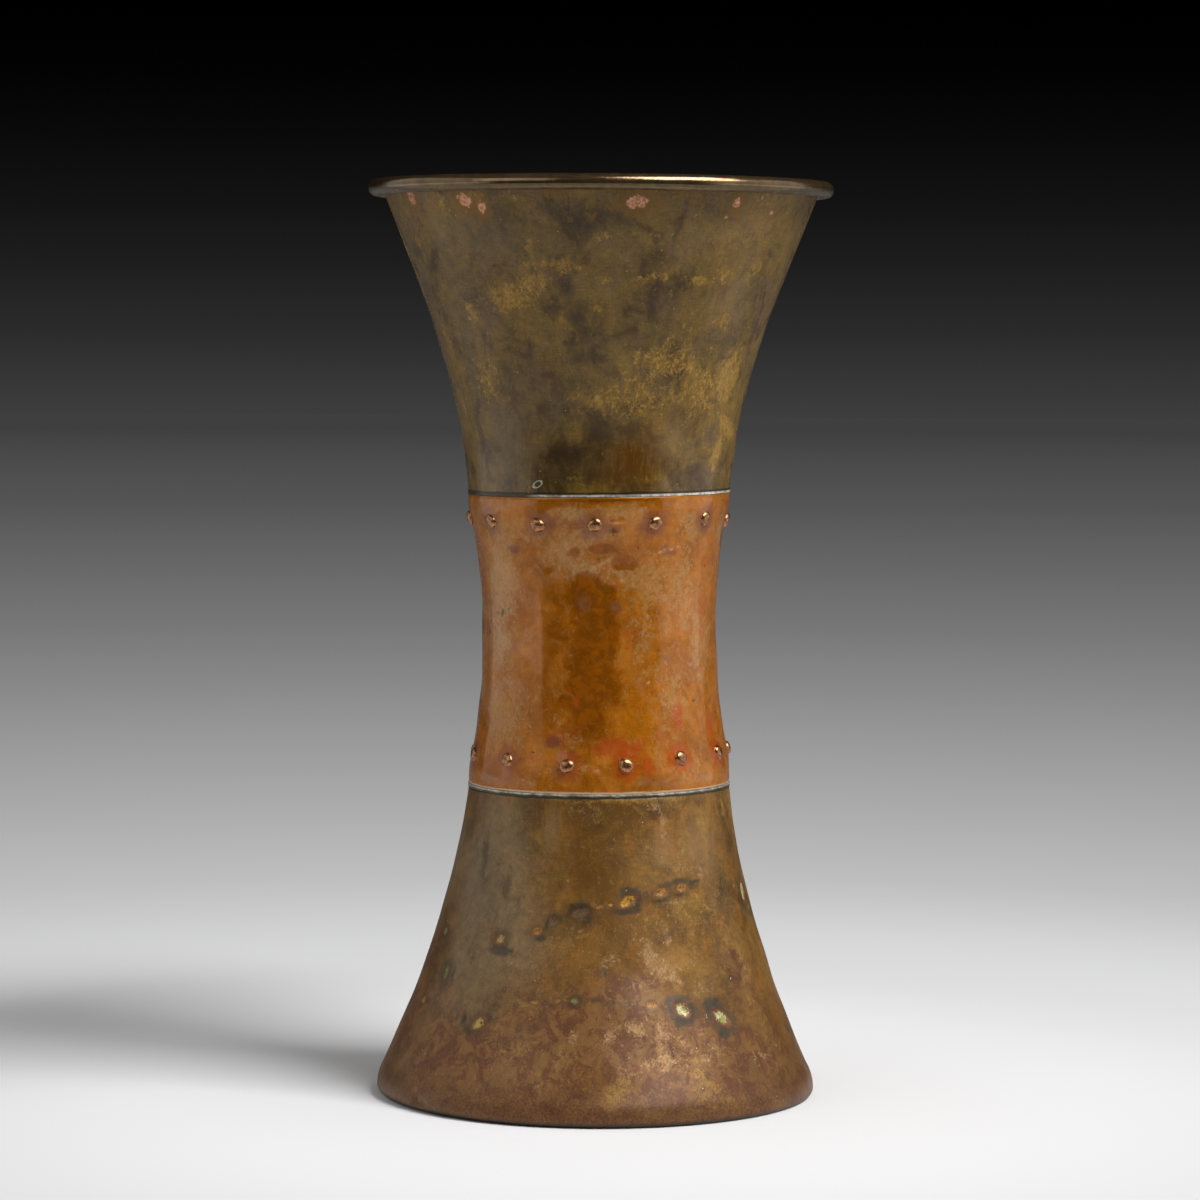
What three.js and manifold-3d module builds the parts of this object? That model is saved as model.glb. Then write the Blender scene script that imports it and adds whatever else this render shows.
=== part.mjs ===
// Riveted copper vase: an hourglass of three sections of sheet copper.
// An upper and a lower trumpet pass their necks into a hollow-sided band at the waist,
// where two rows of domed rivets hold them. The rim is rolled outward round a wire, and
// the foot is turned under to carry a soldered floor. Millimetres, +Z up, front at -Y,
// origin at the centre of the face it stands on.

import * as THREE from 'three';
import { mergeVertices } from 'three/addons/utils/BufferGeometryUtils.js';
import Module from 'manifold-3d';

// Overall form
const height = 305;
const rimRadius = 78.1;
const waistRadius = 39.1;
const footRadius = 73.3;
const upperSeamHeight = 201.5;
const lowerSeamHeight = 103.8;

// Side lines: how far each flare moves outward for every millimetre of height
const upperNeckSlope = 0.075;
const rimSlope = 0.4;
const lowerNeckSlope = 0.116;
const footSlope = 0.459;
const waistArc = 212;

// Sheet, wire and joints
const sheet = 0.9;
const wireRadius = 1.5;
const curlSweep = THREE.MathUtils.degToRad(296);
const clearance = 0.25;
const collarLength = 4;
const grooveWidth = 1.3;
const joggleLength = 1.2;
const neckTail = 7;

// Foot and floor
const footEdgeArc = 14;
const footTurn = 2;
const footLip = 10;
const floorSheet = 1;
const filletSize = 2.4;

// Solder along the seams
const solderWidth = 0.7;
const solderDepth = 0.75;
const solderStandout = 0.15;

// Rivets
const headRadius = 2.25;
const headHeight = 1.3;
const headEdge = 0.25;
const shankRadius = 1.2;
const tailRadius = 1.9;
const tailHeight = 0.7;
const upperRowDrop = 9.8;
const lowerRowRise = 9.2;

// Where each rivet was really punched: degrees past even spacing and millimetres above
// its row, counted from the front to the right all the way round
const upperStrays = [
  [-1.7, -0.2], [-2.2, 0.2], [-1.5, 1.2], [-3.1, 0], [-2.5, -0.5], [-1.5, 0.3], [-0.5, 0.4],
  [0.5, -0.3], [1, 0], [0.5, 0.6], [0.1, 0.8], [0.1, 0.4], [-0.2, -0.4],
];
const lowerStrays = [
  [11.9, 0], [11, 1.5], [11.6, 1.8], [9.9, 1.6], [10.1, 0.8], [11.1, 0.2], [11.9, -0.4],
  [11.6, 0.3], [10.1, 0.7], [8.6, 0.4], [8.1, 0.7], [10.7, 0.7], [13.4, -0.1],
];

// Facets
const turnFacets = 44;
const flareSteps = 6;
const waistSteps = 4;
const curlSteps = 8;
const footArcSteps = 2;
const footTurnSteps = 3;
const wireFacets = 6;
const rivetFacets = 8;
const domeSteps = 2;
const drillFacets = 8;

const wasm = await Module();
wasm.setup();

const point = (radius, level) => new THREE.Vector2(radius, level);

// Points along an arc of a section, from one angle to another
function arc(centre, radius, from, to, steps) {
  return Array.from({ length: steps + 1 }, (_, i) => {
    const angle = from + (to - from) * i / steps;
    return point(centre.x + radius * Math.cos(angle), centre.y + radius * Math.sin(angle));
  });
}

// A smooth side line that leaves one point and reaches another at the given slopes
function flare(start, startSlope, end, endSlope) {
  const third = (end.y - start.y) / 3;
  const leave = point(start.x + third * startSlope, start.y + third);
  const arrive = point(end.x - third * endSlope, end.y - third);
  return new THREE.CubicBezierCurve(start, leave, arrive, end).getPoints(flareSteps);
}

// The path moved sideways to its left, with its corners mitred
function offsetLeft(path, distance) {
  const normals = path.slice(1).map((end, i) => {
    const along = end.clone().sub(path[i]).normalize();
    return point(-along.y, along.x);
  });
  return path.map((corner, i) => {
    const before = normals[Math.max(i - 1, 0)];
    const after = normals[Math.min(i, normals.length - 1)];
    const mitre = distance / (1 + before.dot(after));
    return corner.clone().addScaledVector(before, mitre).addScaledVector(after, mitre);
  });
}

// The closed section of a sheet whose outer face follows the path upward
const sheetSection = (path) => [...path, ...offsetLeft(path, sheet).reverse()];

// A closed section turned about the vertical axis
function revolve(section, facets = turnFacets) {
  return new THREE.LatheGeometry([...section, section[0]], facets).rotateX(Math.PI / 2);
}

function toSolid(geometry) {
  const bare = geometry.clone();
  bare.deleteAttribute('normal');
  bare.deleteAttribute('uv');
  const merged = mergeVertices(bare);
  const { array: vertProperties } = merged.getAttribute('position');
  const triVerts = Uint32Array.from(merged.getIndex().array);
  return new wasm.Manifold(new wasm.Mesh({ numProp: 3, vertProperties, triVerts }));
}

function toGeometry(solid) {
  const { vertProperties, triVerts } = solid.getMesh();
  const geometry = new THREE.BufferGeometry();
  geometry.setAttribute('position', new THREE.BufferAttribute(vertProperties, 3));
  geometry.setIndex(new THREE.BufferAttribute(triVerts, 1));
  geometry.computeVertexNormals();
  return geometry;
}

// The band's hollow side, and the collars that run straight to its two ends
const waistLevel = (upperSeamHeight + lowerSeamHeight) / 2;
const waistCentre = point(waistRadius + waistArc, waistLevel);
const bandHalf = (upperSeamHeight - lowerSeamHeight - grooveWidth) / 2;
const hollowHalf = bandHalf - collarLength;

// Radius of a face that lies a given depth inside the band's outer face, at a level
function waistFace(depth, level) {
  const reach = THREE.MathUtils.clamp(level - waistLevel, -hollowHalf, hollowHalf);
  return waistCentre.x - Math.sqrt((waistArc + depth) ** 2 - reach ** 2);
}
const collarRadius = waistFace(0, waistLevel + hollowHalf);
const neckDepth = sheet + clearance;

function bandPath() {
  const levels = Array.from({ length: waistSteps + 1 }, (_, i) => (2 * i / waistSteps - 1) * hollowHalf);
  return [-bandHalf, ...levels, bandHalf].map(
    (level) => point(waistFace(0, waistLevel + level), waistLevel + level),
  );
}

// The part of a trumpet that passes inside the band, from its free end out to the shoulder.
// Up is 1 for the upper trumpet and -1 for the lower one.
function neckPath(rowLevel, seamLevel, up) {
  const tip = rowLevel - up * neckTail;
  const collarStart = waistLevel + up * hollowHalf;
  const shoulder = seamLevel + up * grooveWidth / 2;
  const hollow = [tip, collarStart].map((level) => point(waistFace(neckDepth, level), level));
  const straight = point(waistFace(neckDepth, collarStart), shoulder - up * joggleLength);
  return [...hollow, straight, point(collarRadius, shoulder)];
}

// Upper trumpet: neck, flare and a rim rolled outward round the wire
const beadRadius = wireRadius + clearance + sheet;
const wireCentre = point(rimRadius - beadRadius, height - beadRadius);
const upperRowLevel = upperSeamHeight - upperRowDrop;
const lowerRowLevel = lowerSeamHeight + lowerRowRise;

function upperTrumpetPath() {
  const neck = neckPath(upperRowLevel, upperSeamHeight, 1);
  const curlStart = Math.PI - Math.atan(rimSlope);
  const curl = arc(wireCentre, wireRadius + clearance, curlStart, curlStart - curlSweep, curlSteps);
  const side = flare(neck.at(-1), upperNeckSlope, curl[0], rimSlope);
  return [...neck, ...side.slice(1), ...curl.slice(1)];
}

// Lower trumpet: a flat lip turned in under the foot, the rounded foot edge, flare and neck
const lipRadius = footRadius - footLip;
const turnCentre = point(footRadius - footTurn, footTurn);
const edgeCentre = point(footRadius - footEdgeArc, footTurn);

function lowerTrumpetPath() {
  const neck = neckPath(lowerRowLevel, lowerSeamHeight, -1).reverse();
  const turn = arc(turnCentre, footTurn, -Math.PI / 2, 0, footTurnSteps);
  const edge = arc(edgeCentre, footEdgeArc, 0, Math.atan(footSlope), footArcSteps);
  const side = flare(edge.at(-1), -footSlope, neck[0], -lowerNeckSlope);
  return [point(lipRadius, 0), ...turn, ...edge.slice(1), ...side.slice(1), ...neck.slice(1)];
}

// Radius of the foot's inner face at a level on its rounded edge
function footInside(level) {
  return edgeCentre.x + Math.sqrt((footEdgeArc - sheet) ** 2 - (level - edgeCentre.y) ** 2);
}

function floorSection() {
  const bottom = sheet + clearance;
  const top = bottom + floorSheet;
  return [point(0, bottom), point(turnCentre.x, bottom), point(turnCentre.x, top), point(0, top)];
}

function floorSolderSection() {
  const bottom = sheet + floorSheet + 2 * clearance;
  const wall = footInside(bottom + filletSize) - clearance;
  return [point(wall - filletSize, bottom), point(wall, bottom), point(wall, bottom + filletSize)];
}

// The bead of solder that lies against one end of the band
function seamSolderSection(seamLevel, up) {
  const start = seamLevel - up * (grooveWidth / 2 - clearance);
  const end = start + up * solderWidth;
  const outside = collarRadius + solderStandout;
  const section = [point(outside - solderDepth, start), point(outside, start), point(outside, end)];
  return up > 0 ? section : section.reverse();
}

// Rivet along local Z, with zero on the band's outer face
function rivetGeometry() {
  const seat = clearance;
  const inside = -(2 * sheet + 2 * clearance);
  const domeHeight = headHeight - headEdge;
  const dome = Array.from({ length: domeSteps + 1 }, (_, i) => {
    const angle = Math.PI / 2 * i / domeSteps;
    return point(headRadius * Math.cos(angle), seat + headEdge + domeHeight * Math.sin(angle));
  });
  const section = [
    point(0, inside - tailHeight),
    point(tailRadius, inside),
    point(shankRadius, inside),
    point(shankRadius, seat),
    point(headRadius, seat),
    ...dome,
  ];
  return new THREE.LatheGeometry(section, rivetFacets).rotateX(Math.PI / 2);
}

// Where each rivet of a row sits on the band, square to its surface
function rivetPlaces(rowLevel, strays) {
  return strays.map(([turn, rise], i) => {
    const level = rowLevel + rise;
    const angle = 2 * Math.PI * i / strays.length + THREE.MathUtils.degToRad(turn);
    const seat = point(waistFace(0, level), level);
    const outward = waistCentre.clone().sub(seat).normalize();
    const place = new THREE.Object3D();
    place.position.set(seat.x * Math.sin(angle), -seat.x * Math.cos(angle), seat.y);
    place.quaternion.setFromUnitVectors(
      new THREE.Vector3(0, 0, 1),
      new THREE.Vector3(outward.x * Math.sin(angle), -outward.x * Math.cos(angle), outward.y),
    );
    place.updateMatrix();
    return place;
  });
}

// The solid with a rivet hole cut at every place
function drilled(geometry, places) {
  const holeRadius = shankRadius + clearance;
  const drill = new THREE.CylinderGeometry(holeRadius, holeRadius, 4 * neckDepth, drillFacets)
    .rotateX(Math.PI / 2)
    .translate(0, 0, -neckDepth);
  return toGeometry(places.reduce(
    (solid, place) => solid.subtract(toSolid(drill.clone().applyMatrix4(place.matrix))),
    toSolid(geometry),
  ));
}

const vase = new THREE.Group();

function addPiece(name, geometry, color, roughness, metalness) {
  const material = new THREE.MeshStandardMaterial({ color, roughness, metalness });
  const mesh = new THREE.Mesh(geometry, material);
  mesh.name = name;
  vase.add(mesh);
  return mesh;
}

function addRivets(row, places) {
  places.forEach((place, i) => {
    const name = `rivet_${row}_${String(i + 1).padStart(2, '0')}`;
    const rivet = addPiece(name, rivetGeometry(), 0xb06a3c, 0.3, 0.95);
    rivet.position.copy(place.position);
    rivet.quaternion.copy(place.quaternion);
  });
}

const upperPlaces = rivetPlaces(upperRowLevel, upperStrays);
const lowerPlaces = rivetPlaces(lowerRowLevel, lowerStrays);

const upperTrumpet = drilled(revolve(sheetSection(upperTrumpetPath())), upperPlaces);
const band = drilled(revolve(sheetSection(bandPath())), [...upperPlaces, ...lowerPlaces]);
const lowerTrumpet = drilled(revolve(sheetSection(lowerTrumpetPath())), lowerPlaces);
const wireSection = arc(wireCentre, wireRadius, 0, 2 * Math.PI, wireFacets).slice(0, -1);

addPiece('upper_trumpet', upperTrumpet, 0x5c5034, 0.42, 0.85);
addPiece('rim_wire', revolve(wireSection), 0x6b4a33, 0.5, 0.85);
addPiece('waist_band', band, 0xa05f31, 0.3, 0.95);
addPiece('lower_trumpet', lowerTrumpet, 0x5a4430, 0.45, 0.85);
addPiece('floor_disc', revolve(floorSection()), 0x63503a, 0.55, 0.85);
addPiece('floor_solder', revolve(floorSolderSection()), 0x8f8d86, 0.45, 0.9);
addPiece('upper_seam_solder', revolve(seamSolderSection(upperSeamHeight, 1)), 0xc9c2b4, 0.3, 0.95);
addPiece('lower_seam_solder', revolve(seamSolderSection(lowerSeamHeight, -1)), 0xb9b4a8, 0.4, 0.9);
addRivets('upper', upperPlaces);
addRivets('lower', lowerPlaces);

export default vase;
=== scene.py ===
import math
from collections import namedtuple

import bmesh
import bpy
import numpy as np
from mathutils import Matrix, Vector


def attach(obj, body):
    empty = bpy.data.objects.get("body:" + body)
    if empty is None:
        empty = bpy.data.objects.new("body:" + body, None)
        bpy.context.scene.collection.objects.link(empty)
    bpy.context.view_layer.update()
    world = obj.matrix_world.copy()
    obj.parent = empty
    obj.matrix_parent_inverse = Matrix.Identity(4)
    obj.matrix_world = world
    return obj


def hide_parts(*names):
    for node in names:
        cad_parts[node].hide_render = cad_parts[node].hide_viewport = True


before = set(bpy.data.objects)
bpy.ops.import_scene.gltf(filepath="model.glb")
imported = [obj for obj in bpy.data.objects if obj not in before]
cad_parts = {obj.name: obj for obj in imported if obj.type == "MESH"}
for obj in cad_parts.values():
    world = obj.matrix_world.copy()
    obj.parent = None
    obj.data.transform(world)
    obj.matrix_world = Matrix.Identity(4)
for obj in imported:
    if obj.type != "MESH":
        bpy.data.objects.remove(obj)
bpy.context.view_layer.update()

# Riveted copper vase. Lengths are millimetres up to the meshes, which are metres.
# Angles run from the front (-Y) to the right (+X); levels are heights above the floor.

MM = 0.001

# Sizes of the part, as in its source
HEIGHT = 305.0
RIM_RADIUS = 78.1
WAIST_RADIUS = 39.1
FOOT_RADIUS = 73.3
UPPER_SEAM = 201.5
LOWER_SEAM = 103.8
UPPER_NECK_SLOPE = 0.075
RIM_SLOPE = 0.4
LOWER_NECK_SLOPE = 0.116
FOOT_SLOPE = 0.459
WAIST_ARC = 212.0
SHEET = 0.9
WIRE_RADIUS = 1.5
CURL_SWEEP = math.radians(296)
CLEARANCE = 0.25
COLLAR = 4.0
GROOVE = 1.3
JOGGLE = 1.2
NECK_TAIL = 7.0
FOOT_EDGE_ARC = 14.0
FOOT_TURN = 2.0
FOOT_LIP = 10.0
FLOOR_SHEET = 1.0
FILLET = 2.4
SOLDER_DEPTH = 0.75
SOLDER_STANDOUT = 0.15
HEAD_RADIUS = 2.25
HEAD_HEIGHT = 1.3
HEAD_EDGE = 0.25
SHANK_RADIUS = 1.2
TAIL_RADIUS = 1.9
TAIL_HEIGHT = 0.7
UPPER_ROW = UPPER_SEAM - 9.8
LOWER_ROW = LOWER_SEAM + 9.2
UPPER_STRAYS = [
    (-1.7, -0.2), (-2.2, 0.2), (-1.5, 1.2), (-3.1, 0), (-2.5, -0.5), (-1.5, 0.3), (-0.5, 0.4),
    (0.5, -0.3), (1, 0), (0.5, 0.6), (0.1, 0.8), (0.1, 0.4), (-0.2, -0.4),
]
LOWER_STRAYS = [
    (11.9, 0), (11, 1.5), (11.6, 1.8), (9.9, 1.6), (10.1, 0.8), (11.1, 0.2), (11.9, -0.4),
    (11.6, 0.3), (10.1, 0.7), (8.6, 0.4), (8.1, 0.7), (10.7, 0.7), (13.4, -0.1),
]

WAIST_LEVEL = (UPPER_SEAM + LOWER_SEAM) / 2
WAIST_CENTRE = WAIST_RADIUS + WAIST_ARC
BAND_HALF = (UPPER_SEAM - LOWER_SEAM - GROOVE) / 2
HOLLOW_HALF = BAND_HALF - COLLAR
BEAD_RADIUS = WIRE_RADIUS + CLEARANCE + SHEET
# Radii at which patterns are wrapped round the pieces
SEAM_RADIUS, BAND_RADIUS, ROW_RADIUS, TRUMPET_RADIUS, FLOOR_RADIUS = 44, 41, 42, 48, 70
NECK_DEPTH = SHEET + CLEARANCE

# The camera of the photograph: its picture is 1200 pixels square
PICTURE = 1200
FOCAL_PIXELS = 4272.0
CAMERA_DISTANCE = 1428.0
CAMERA_LEVEL = 254.0
AIM_LEVEL = 165.4
AXIS_PIXEL = 598.9
CAMERA_ROLL = math.radians(0.35)


# Outlines

def arc(centre, radius, start, end, steps):
    angle = np.linspace(start, end, steps + 1)
    return np.stack([centre[0] + radius * np.cos(angle), centre[1] + radius * np.sin(angle)], axis=1)


def flare(start, start_slope, end, end_slope, steps):
    start, end = np.array(start), np.array(end)
    third = (end[1] - start[1]) / 3
    leave = start + np.array([third * start_slope, third])
    arrive = end - np.array([third * end_slope, third])
    t = np.linspace(0, 1, steps + 1)[:, None]
    return (1 - t) ** 3 * start + 3 * (1 - t) ** 2 * t * leave + 3 * (1 - t) * t**2 * arrive + t**3 * end


def waist_face(depth, level):
    reach = np.clip(np.asarray(level, dtype=float) - WAIST_LEVEL, -HOLLOW_HALF, HOLLOW_HALF)
    return WAIST_CENTRE - np.sqrt((WAIST_ARC + depth) ** 2 - reach**2)


COLLAR_RADIUS = float(waist_face(0, WAIST_LEVEL + HOLLOW_HALF))
WIRE_CENTRE = (RIM_RADIUS - BEAD_RADIUS, HEIGHT - BEAD_RADIUS)
CURL_START = math.pi - math.atan(RIM_SLOPE)
EDGE_CENTRE = (FOOT_RADIUS - FOOT_EDGE_ARC, FOOT_TURN)
UPPER_SHOULDER = UPPER_SEAM + GROOVE / 2
LOWER_SHOULDER = LOWER_SEAM - GROOVE / 2


def line(start, end, steps):
    return np.linspace(start, end, steps + 1)


def neck_pieces(row, seam, up):
    """The part of a trumpet inside the band, from its free end out to its shoulder"""
    start = WAIST_LEVEL + up * HOLLOW_HALF
    shoulder = seam + up * GROOVE / 2
    levels = np.linspace(row - up * NECK_TAIL, start, 6)
    hollow = np.stack([waist_face(NECK_DEPTH, levels), levels], axis=1)
    inside = float(waist_face(NECK_DEPTH, start))
    straight = line((inside, start), (inside, shoulder - up * JOGGLE), 2)
    return [hollow, straight, line(straight[-1], (COLLAR_RADIUS, shoulder), 2)]


CURL = arc(WIRE_CENTRE, WIRE_RADIUS + CLEARANCE, CURL_START, CURL_START - CURL_SWEEP, 32)
UPPER_SIDE = flare((COLLAR_RADIUS, UPPER_SHOULDER), UPPER_NECK_SLOPE, CURL[0], RIM_SLOPE, 98)
FOOT_EDGE = arc(EDGE_CENTRE, FOOT_EDGE_ARC, 0, math.atan(FOOT_SLOPE), 10)
LOWER_SIDE = flare(FOOT_EDGE[-1], -FOOT_SLOPE, (COLLAR_RADIUS, LOWER_SHOULDER), -LOWER_NECK_SLOPE, 107)


def side_radius(level):
    """Radius of the vase's outer face at a level"""
    level = np.asarray(level, dtype=float)
    lower = np.interp(level, *np.concatenate([FOOT_EDGE, LOWER_SIDE])[:, ::-1].T)
    upper = np.interp(level, *UPPER_SIDE[:, ::-1].T)
    return np.where(level < LOWER_SEAM, lower, np.where(level > UPPER_SEAM, upper, waist_face(0, level)))


# How the hand-made vase strays from an even one, as pairs of level and millimetres
AXIS_STRAYS = [
    (0, -0.3), (41, -0.15), (77, 0), (90, 0.25), (121, 0.55), (146, 0.35), (170, -0.1), (190, -0.2), (212, -0.1),
    (236, -0.1), (250, -0.25), (263, -0.2), (276, -0.05), (305, -0.1),
]
RADIUS_STRAYS = [
    (0, 0.1), (29, 0.1), (65, 0), (89, -0.15), (110, -0.05), (134, 0.05), (158, 0), (176, -0.4), (196, 0),
    (208, -0.1), (222, -0.6), (236, -0.55), (250, -0.85), (263, -0.9), (276, -0.45), (290, -0.45), (305, -0.8),
]


def softened(pairs, width=1.0):
    levels = np.arange(-30.0, HEIGHT + 31)
    blur = np.exp(-np.linspace(-2.5, 2.5, 2 * round(20 * width) + 1) ** 2)
    return levels, np.convolve(np.interp(levels, *zip(*pairs)), blur / blur.sum(), mode="same")


AXIS_LINE, RADIUS_LINE = softened(AXIS_STRAYS), softened(RADIUS_STRAYS)


def lean(level):
    """How far the vase stands off its axis at a level, to the right"""
    return np.interp(level, *AXIS_LINE)


def trim(level):
    """How far the vase's side stands off its even outline at a level"""
    return np.interp(level, *RADIUS_LINE)


# The seams and rivet rows lie a little out of level: level, rise all round, more to the right
SEAM_STRAYS = [
    (0, 0.3, -0.3), (20, 0.15, -0.15), (60, 0, 0), (85, 0, 0), (103.8, 0, 0.4), (113, 1, 0.35), (125, 0.6, 0.2),
    (150, 0.4, 0.1), (180, 0.8, 0.2), (191.7, 0.95, 0.3), (201.5, 0.55, 0.65), (220, 0.2, 0.3), (245, 0, 0),
]
RISE_LINE = softened([(level, rise) for level, rise, _ in SEAM_STRAYS], 0.35)
SLANT_LINE = softened([(level, slant) for level, _, slant in SEAM_STRAYS], 0.35)


def lift(theta, level):
    """How far a point of the vase stands above its even level"""
    return np.interp(level, *RISE_LINE) + np.interp(level, *SLANT_LINE) * np.sin(theta)


# Camera

tilt = math.atan2(CAMERA_LEVEL - AIM_LEVEL, CAMERA_DISTANCE)
camera_x = (PICTURE / 2 - AXIS_PIXEL) * CAMERA_DISTANCE / FOCAL_PIXELS
camera_data = bpy.data.cameras.new("camera")
camera_data.lens = camera_data.sensor_width * FOCAL_PIXELS / PICTURE
camera = bpy.data.objects.new("camera", camera_data)
bpy.context.scene.collection.objects.link(camera)
camera.location = Vector((camera_x, -CAMERA_DISTANCE, CAMERA_LEVEL)) * MM
camera.rotation_euler = (
    Matrix.Rotation(math.pi / 2 - tilt, 3, "X") @ Matrix.Rotation(CAMERA_ROLL, 3, "Z")
).to_euler()
bpy.context.scene.camera = camera


def on_side(across, down):
    """Angle and level of the point of the vase's side that shows at a pixel of the photograph"""
    across, down = across - PICTURE / 2, down - PICTURE / 2
    x = (across * math.cos(CAMERA_ROLL) + down * math.sin(CAMERA_ROLL)) / FOCAL_PIXELS
    y = (across * math.sin(CAMERA_ROLL) - down * math.cos(CAMERA_ROLL)) / FOCAL_PIXELS
    ray = np.array([x, math.cos(tilt) + y * math.sin(tilt), y * math.cos(tilt) - math.sin(tilt)])
    # The line of sight is followed in small steps, from before the vase to past its axis
    depth = np.linspace(CAMERA_DISTANCE - 90, CAMERA_DISTANCE + 5, 3000)[:, None]
    spots = np.array([camera_x, -CAMERA_DISTANCE, CAMERA_LEVEL]) + depth * ray
    spots[:, 0] -= lean(spots[:, 2])
    inside = np.hypot(spots[:, 0], spots[:, 1]) <= side_radius(spots[:, 2]) + trim(spots[:, 2])
    spot = spots[int(np.argmax(inside))] if inside.any() else spots[-1]
    angle = math.atan2(spot[0], -spot[1])
    return angle, float(spot[2] - lift(angle, spot[2]))


# Meshes

def fade(value, start, end):
    t = np.clip((value - start) / (end - start), 0, 1)
    return t * t * (3 - 2 * t)


def swell(theta, level, seed, finest, amplitude, radius=TRUMPET_RADIUS):
    """Soft unevenness of hand-raised sheet, with no wave shorter than the finest"""
    rng = np.random.default_rng(seed)
    total = np.zeros(np.broadcast(theta, level).shape)
    count = 40
    for _ in range(count):
        length = finest * rng.uniform(1, 3.5)
        heading, phase = rng.uniform(0, 2 * math.pi, 2)
        turns = round(2 * math.pi * radius * math.cos(heading) / length)
        total += np.cos(turns * theta + 2 * math.pi * math.sin(heading) / length * level + phase)
    return amplitude * total / math.sqrt(count / 2)


def apart(theta, level, place, radius):
    """Distances across and up the surface from a place on it"""
    turn = (theta - place[0] + math.pi) % (2 * math.pi) - math.pi
    return turn * radius, level - place[1]


FRONT_COLUMNS = np.radians(np.arange(-95, 95, 0.5))
BACK_COLUMNS = np.radians(np.arange(95, 265, 0.85))
COLUMNS = np.concatenate([FRONT_COLUMNS, BACK_COLUMNS])


def offset_left(path, distance):
    along = np.diff(path, axis=0)
    along /= np.linalg.norm(along, axis=1)[:, None]
    normals = np.stack([-along[:, 1], along[:, 0]], axis=1)
    before = np.concatenate([normals[:1], normals])
    after = np.concatenate([normals, normals[-1:]])
    mitre = distance / (1 + (before * after).sum(axis=1))
    return path + (before + after) * mitre[:, None], (before + after) / 2


Section = namedtuple("Section", "points outward face")


def sheet(pieces):
    """Closed outline of a sheet: its points, the way outward at each, and 1 on the outer face"""
    path, outside, inside = [], [], []
    for points, outer_step, inner_step in pieces:
        start = len(path)
        path.extend(points[1:] if path else points)
        for chosen, step in ((outside, outer_step), (inside, inner_step)):
            chosen += [i for i in range(start, len(path)) if (len(path) - 1 - i) % step == 0]
    path = np.array(path)
    other, normals = offset_left(path, SHEET)
    outside, inside = sorted({0, *outside}), sorted({0, *inside}, reverse=True)
    return Section(
        np.concatenate([path[outside], other[inside]]),
        -np.concatenate([normals[outside], normals[inside]]),
        np.concatenate([np.ones(len(outside)), np.zeros(len(inside))]),
    )


def turned(name, section, columns=COLUMNS, relief=None, fields=None, closed=True, sharp=38):
    """A section turned about the axis, with relief in millimetres and named fields on its points"""
    theta = columns[None, :]
    radius = np.repeat(section.points[:, :1], len(columns), axis=1)
    level = np.repeat(section.points[:, 1:], len(columns), axis=1)
    face = section.face[:, None] * np.ones_like(radius)
    values = {key: maker(theta, level, face) for key, maker in (fields or {}).items()}
    if relief:
        push = relief(theta, level, face)
        radius = radius + push * section.outward[:, :1]
        level = level + push * section.outward[:, 1:]
    radius = radius + trim(level) * fade(radius, 5, 35)
    level = level + lift(columns, level)
    points = np.stack([radius * np.sin(columns) + lean(level), -radius * np.cos(columns), level], axis=2)
    rows, count = radius.shape
    index = np.arange(rows * count).reshape(rows, count)
    below = index if closed else index[:-1]
    above = np.roll(index, -1, axis=0) if closed else index[1:]
    faces = np.stack([below, np.roll(below, -1, axis=1), np.roll(above, -1, axis=1), above], axis=2)
    mesh = mesh_from(name, points.reshape(-1, 3) * MM, faces.reshape(-1, 4), values, sharp)
    # A map for the surface: once round across, once along the section up
    step = np.linalg.norm(np.diff(np.stack([radius[:, 0], level[:, 0]], axis=1), axis=0), axis=1)
    length = np.concatenate([[0], np.cumsum(step + 1e-3)])
    length = np.append(length, length[-1] + 0.5) / (length[-1] + 0.5)
    across = np.append(columns - columns[0], 2 * math.pi) / (2 * math.pi)
    tall = len(faces)
    u0, u1 = np.tile(across[:-1], (tall, 1)), np.tile(across[1:], (tall, 1))
    v0, v1 = np.tile(length[:tall, None], (1, count)), np.tile(length[1:tall + 1, None], (1, count))
    chart = np.stack([u0, v0, u1, v0, u1, v1, u0, v1], axis=2).reshape(-1)
    mesh.uv_layers.new(name="OFBake").data.foreach_set("uv", chart.astype(np.float32))
    return mesh


def mesh_from(name, points, faces, values=None, sharp=38, weld=False):
    mesh = bpy.data.meshes.new(name)
    mesh.vertices.add(len(points))
    mesh.vertices.foreach_set("co", np.asarray(points, dtype=np.float32).reshape(-1))
    mesh.loops.add(faces.size)
    mesh.loops.foreach_set("vertex_index", faces.reshape(-1).astype(np.int32))
    mesh.polygons.add(len(faces))
    mesh.polygons.foreach_set("loop_start", np.arange(0, faces.size, faces.shape[1], dtype=np.int32))
    mesh.update(calc_edges=True)
    mesh.validate()
    for key, field in (values or {}).items():
        layer = mesh.attributes.new(key, "FLOAT", "POINT")
        layer.data.foreach_set("value", np.asarray(field, dtype=np.float32).reshape(-1))
    if weld:
        shaped = bmesh.new()
        shaped.from_mesh(mesh)
        bmesh.ops.remove_doubles(shaped, verts=shaped.verts, dist=1e-6)
        bmesh.ops.dissolve_degenerate(shaped, edges=shaped.edges, dist=1e-7)
        shaped.to_mesh(mesh)
        shaped.free()
    mesh.shade_smooth()
    mesh.set_sharp_from_angle(angle=math.radians(sharp))
    return mesh


def piece(name, mesh, material, slot, *nodes):
    obj = bpy.data.objects.new(name, mesh)
    bpy.context.scene.collection.objects.link(obj)
    mesh.materials.append(material)
    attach(obj, "root")
    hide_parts(*nodes)
    return obj


# Rivets: where each one sits

def rivet_places(row, strays):
    share = 2 * math.pi / len(strays)
    return [(share * i + math.radians(turn), row + rise) for i, (turn, rise) in enumerate(strays)]


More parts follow.
